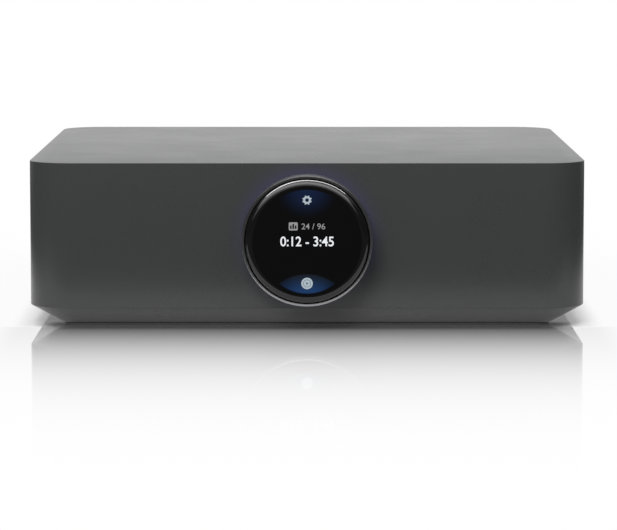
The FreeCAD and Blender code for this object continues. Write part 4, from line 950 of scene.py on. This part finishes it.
class AMPLIFIER_OT_screen_picture(bpy.types.Operator):
    """Draws the lit numbers and the small pictures on the screen"""
    bl_idname = "amplifier.screen_picture"
    bl_label = "Screen picture"

    def execute(self, context):
        screen = context.scene.amplifier_screen
        bright = lit_ink("screen_ink", screen.ink)
        pale = lit_ink("screen_pale_ink", screen.pale)
        dim = lit_ink("screen_dim_ink", screen.dim)
        faint = lit_ink("screen_mark_ink", screen.faint)
        reading = flat_text("screen_reading", screen.reading, screen.reading_size, 0.02)
        self.lay(reading, READING_PLACE, bright)
        rate = flat_text("screen_rate", screen.rate, screen.rate_size, 0.004)
        self.lay(rate, RATE_PLACE, dim)
        self.lay(self.gear(screen), GEAR_PLACE, pale)
        self.lay(self.level_box(screen), BARS_PLACE, dim)
        self.lay(self.disc("screen_disc", 48, screen.disc_radius), DISC_PLACE, pale)
        self.lay(self.disc_marks(), DISC_PLACE, faint, 2 * HAIR)
        return {"FINISHED"}

    def lay(self, piece, place, ink, proud=HAIR):
        """Turns a flat picture from the XY plane to its place on the front of the glass."""
        only(piece)
        piece.location = (*place, 0)
        bpy.ops.object.transform_apply(location=True, rotation=True, scale=True)
        bpy.ops.transform.rotate(value=-math.pi / 2, orient_axis="X", center_override=(0, 0, 0))
        piece.location += PICTURE_MIDDLE - Vector((0, proud, 0))
        dress(piece, "case", "screen", material=ink)

    def disc(self, name, sides, radius):
        clear_selection()
        bpy.ops.mesh.primitive_circle_add(vertices=sides, radius=radius, fill_type="NGON")
        return adopt(name)

    def ring(self, name, sides, radius, rim):
        """A flat ring, left in edit mode."""
        ring = self.disc(name, sides, radius)
        bpy.ops.object.mode_set(mode="EDIT")
        bpy.ops.mesh.select_all(action="SELECT")
        bpy.ops.mesh.inset(thickness=rim)
        bpy.ops.mesh.delete(type="FACE")
        return ring

    def gear(self, screen):
        """A ring whose outer edges are drawn out in turn into teeth."""
        gear = self.ring("screen_gear", screen.teeth * 6, screen.gear_radius, screen.gear_rim)
        step = TURN / screen.teeth
        reach = 1.22

        def on_tooth(edge):
            middle = (edge.verts[0].co + edge.verts[1].co) / 2
            turn = math.atan2(middle.y, middle.x) % step
            outside = middle.length > screen.gear_radius - screen.gear_rim / 2
            return outside and abs(turn - step / 2) < step * 0.24 and edge.is_boundary

        pick(gear, on_tooth, "EDGE")
        bpy.ops.mesh.extrude_edges_move(MESH_OT_extrude_edges_indiv={})
        bpy.ops.transform.resize(value=(reach, reach, 1), center_override=(0, 0, 0))
        bpy.ops.object.mode_set(mode="OBJECT")
        return gear

    def level_box(self, screen):
        """A small rounded box with three level bars left open in it."""
        clear_selection()
        bpy.ops.mesh.primitive_plane_add(size=screen.box_side)
        box = adopt("screen_bars")
        bpy.ops.object.mode_set(mode="EDIT")
        bpy.ops.mesh.select_all(action="SELECT")
        bpy.ops.mesh.bevel(offset=0.45 * MM, segments=4, affect="VERTICES")
        tops = {-0.85 * MM: 0.35 * MM, 0.0: 0.95 * MM, 0.85 * MM: 0.35 * MM}
        bottom = -0.95 * MM
        half = 0.28 * MM
        for middle in tops:
            for side in (middle - half, middle + half):
                bpy.ops.mesh.select_all(action="SELECT")
                bpy.ops.mesh.bisect(plane_co=(side, 0, 0), plane_no=(1, 0, 0))
        for level in (bottom, *sorted(set(tops.values()))):
            bpy.ops.mesh.select_all(action="SELECT")
            bpy.ops.mesh.bisect(plane_co=(0, level, 0), plane_no=(0, 1, 0))

        def in_bar(face):
            x, y, z = face.calc_center_median()
            return any(abs(x - middle) < half and bottom < y < top for middle, top in tops.items())

        pick(box, in_bar)
        bpy.ops.mesh.delete(type="FACE")
        bpy.ops.object.mode_set(mode="OBJECT")
        box.scale = (1.1, 1, 1)
        return box

    def disc_marks(self):
        """A thin ring and a small triangle, drawn faintly on the disc."""
        marks = self.ring("screen_disc_marks", 40, 1.5 * MM, 0.22 * MM)
        bpy.ops.mesh.primitive_circle_add(vertices=3, radius=0.7 * MM, fill_type="NGON",
                                          rotation=(0, 0, -math.pi / 2))
        bpy.ops.object.mode_set(mode="OBJECT")
        return marks


class AMPLIFIER_OT_thumb_caps(bpy.types.Operator):
    """Models the four thumb caps with rounded edges and hollow grip grooves"""
    bl_idname = "amplifier.thumb_caps"
    bl_label = "Thumb caps"

    def execute(self, context):
        rear = context.scene.amplifier_rear
        for number in range(1, 5):
            self.make_cap(rear, number)
        return {"FINISHED"}

    def make_cap(self, rear, number):
        low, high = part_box(f"thumb_cap_{number}")
        centre = (low + high) / 2
        radius = (high.x - low.x) / 2
        edge = rear.cap_round
        ease = 0.2 * MM
        start = low.y + rear.groove_start
        profile = [(rear.cap_bore, low.y)]
        profile += arc(radius - edge / 2, low.y + edge / 2, edge / 2, -90, 0, 4)
        profile += [(radius, start), (radius, start + 0.05 * MM)]
        profile += arc(radius - edge, high.y - edge, edge, 0, 90, 5)
        profile += [(rear.plug_bore + ease, high.y), (rear.plug_bore, high.y - ease)]
        profile += [(rear.plug_bore, high.y - rear.cap_end), (rear.cap_bore, high.y - rear.cap_end)]
        cap = lathe(f"grip_cap_{number}", profile, centre, rear.grooves * 8)
        bpy.ops.object.mode_set(mode="EDIT")
        step = TURN / rear.grooves
        for offset, depth in ((0, 1.0), (1, 0.8), (2, 0.25)):
            pick(cap, lambda point: self.in_groove(point.co, centre, radius, start, step, offset), "VERT")
            share = 1 - rear.groove_depth * depth / radius
            bpy.ops.transform.resize(value=(share, 1, share), center_override=centre)
        bpy.ops.object.mode_set(mode="OBJECT")
        smooth(cap)
        slot = "terminal_red" if number % 2 == 0 else "terminal_black"
        dress(cap, f"cap_{number}", slot, f"thumb_cap_{number}")

    def in_groove(self, place, centre, radius, start, step, offset):
        """Whether a point of the wall lies a number of eighths from the middle of a groove."""
        across = place.x - centre.x
        up = place.z - centre.z
        if place.y < start + 0.02 * MM or math.hypot(across, up) < radius - 0.25 * MM:
            return False
        eighths = (math.atan2(up, across) % step) / step * 8
        return abs(min(eighths, 8 - eighths) - offset) < 0.3


class AMPLIFIER_OT_rear_print(bpy.types.Operator):
    """Prints plain numbers over the sockets, and the signs of the terminals"""
    bl_idname = "amplifier.rear_print"
    bl_label = "Rear print"

    def execute(self, context):
        rear = context.scene.amplifier_rear
        ink = printed_ink()
        row = PANEL_HIGH.z - rear.print_drop
        height = rear.print_height
        width = height * 0.55
        sockets = ("white_phono_inserts", "optical_socket", "video_shell", "network_socket", "mains_inlet")
        for number, node in enumerate(sockets, 1):
            low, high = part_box(node)
            self.mark(f"print_{number}", str(number), ((low.x + high.x) / 2, row), (width, height), ink)
        for number in range(1, 5):
            low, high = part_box(f"thumb_cap_{number}")
            across = low.x - rear.sign_gap if number < 3 else high.x + rear.sign_gap
            sign, tall = ("+", width) if number % 2 == 0 else ("-", height * 0.16)
            self.mark(f"print_sign_{number}", sign, (across, (low.z + high.z) / 2), (width, tall), ink)
        return {"FINISHED"}

    def mark(self, name, words, place, size, ink):
        """Turns flat words to the rear panel, with their middle at the place."""
        mark = flat_text(name, words, size, 0.0)
        bpy.ops.transform.rotate(value=math.pi, orient_axis="Y", center_override=(0, 0, 0))
        bpy.ops.transform.rotate(value=-math.pi / 2, orient_axis="X", center_override=(0, 0, 0))
        mark.location += Vector((place[0], PANEL_HIGH.y + HAIR, place[1]))
        dress(mark, "case", "panel_plastic", material=ink)


class AMPLIFIER_OT_dress_nodes(bpy.types.Operator):
    """Gives each node that stays its finish"""
    bl_idname = "amplifier.dress_nodes"
    bl_label = "Finishes"

    def execute(self, context):
        for subpart in frame["record"]["subparts"]:
            node = frame["nodes"][subpart["node"]]
            node.data.materials.clear()
            node.data.materials.append(finish_of(subpart["material_slot"]))
        return {"FINISHED"}


class AMPLIFIER_PT_panel(bpy.types.Panel):
    """Lists the steps and the sizes"""
    bl_idname = "AMPLIFIER_PT_panel"
    bl_label = "Streaming amplifier"
    bl_space_type = "VIEW_3D"
    bl_region_type = "UI"
    bl_category = "Amplifier"

    def draw(self, context):
        for group in SETTINGS:
            settings = getattr(context.scene, group)
            box = self.layout.box()
            for name in settings.__annotations__:
                box.prop(settings, name)
        for step in STEPS:
            self.layout.operator(step.bl_idname)


SETTINGS = {
    "amplifier_case": CaseSettings,
    "amplifier_dial": DialSettings,
    "amplifier_screen": ScreenSettings,
    "amplifier_rear": RearSettings,
    "amplifier_stage": StageSettings,
}
STEPS = (AMPLIFIER_OT_dress_nodes, AMPLIFIER_OT_case_shell, AMPLIFIER_OT_foot, AMPLIFIER_OT_dial,
         AMPLIFIER_OT_screen_picture, AMPLIFIER_OT_thumb_caps, AMPLIFIER_OT_rear_print, AMPLIFIER_OT_stage)
CLASSES = (*SETTINGS.values(), *STEPS, AMPLIFIER_PT_panel)


def register():
    for item in CLASSES:
        bpy.utils.register_class(item)
    for name, group in SETTINGS.items():
        setattr(bpy.types.Scene, name, PointerProperty(type=group))


def unregister():
    for name in SETTINGS:
        delattr(bpy.types.Scene, name)
    for item in reversed(CLASSES):
        bpy.utils.unregister_class(item)


def main():
    register()
    bpy.ops.amplifier.dress_nodes()
    bpy.ops.amplifier.case_shell()
    bpy.ops.amplifier.foot()
    bpy.ops.amplifier.dial()
    bpy.ops.amplifier.screen_picture()
    bpy.ops.amplifier.thumb_caps()
    bpy.ops.amplifier.rear_print()
    bpy.ops.amplifier.stage()


if __name__ == "__main__":
    main()
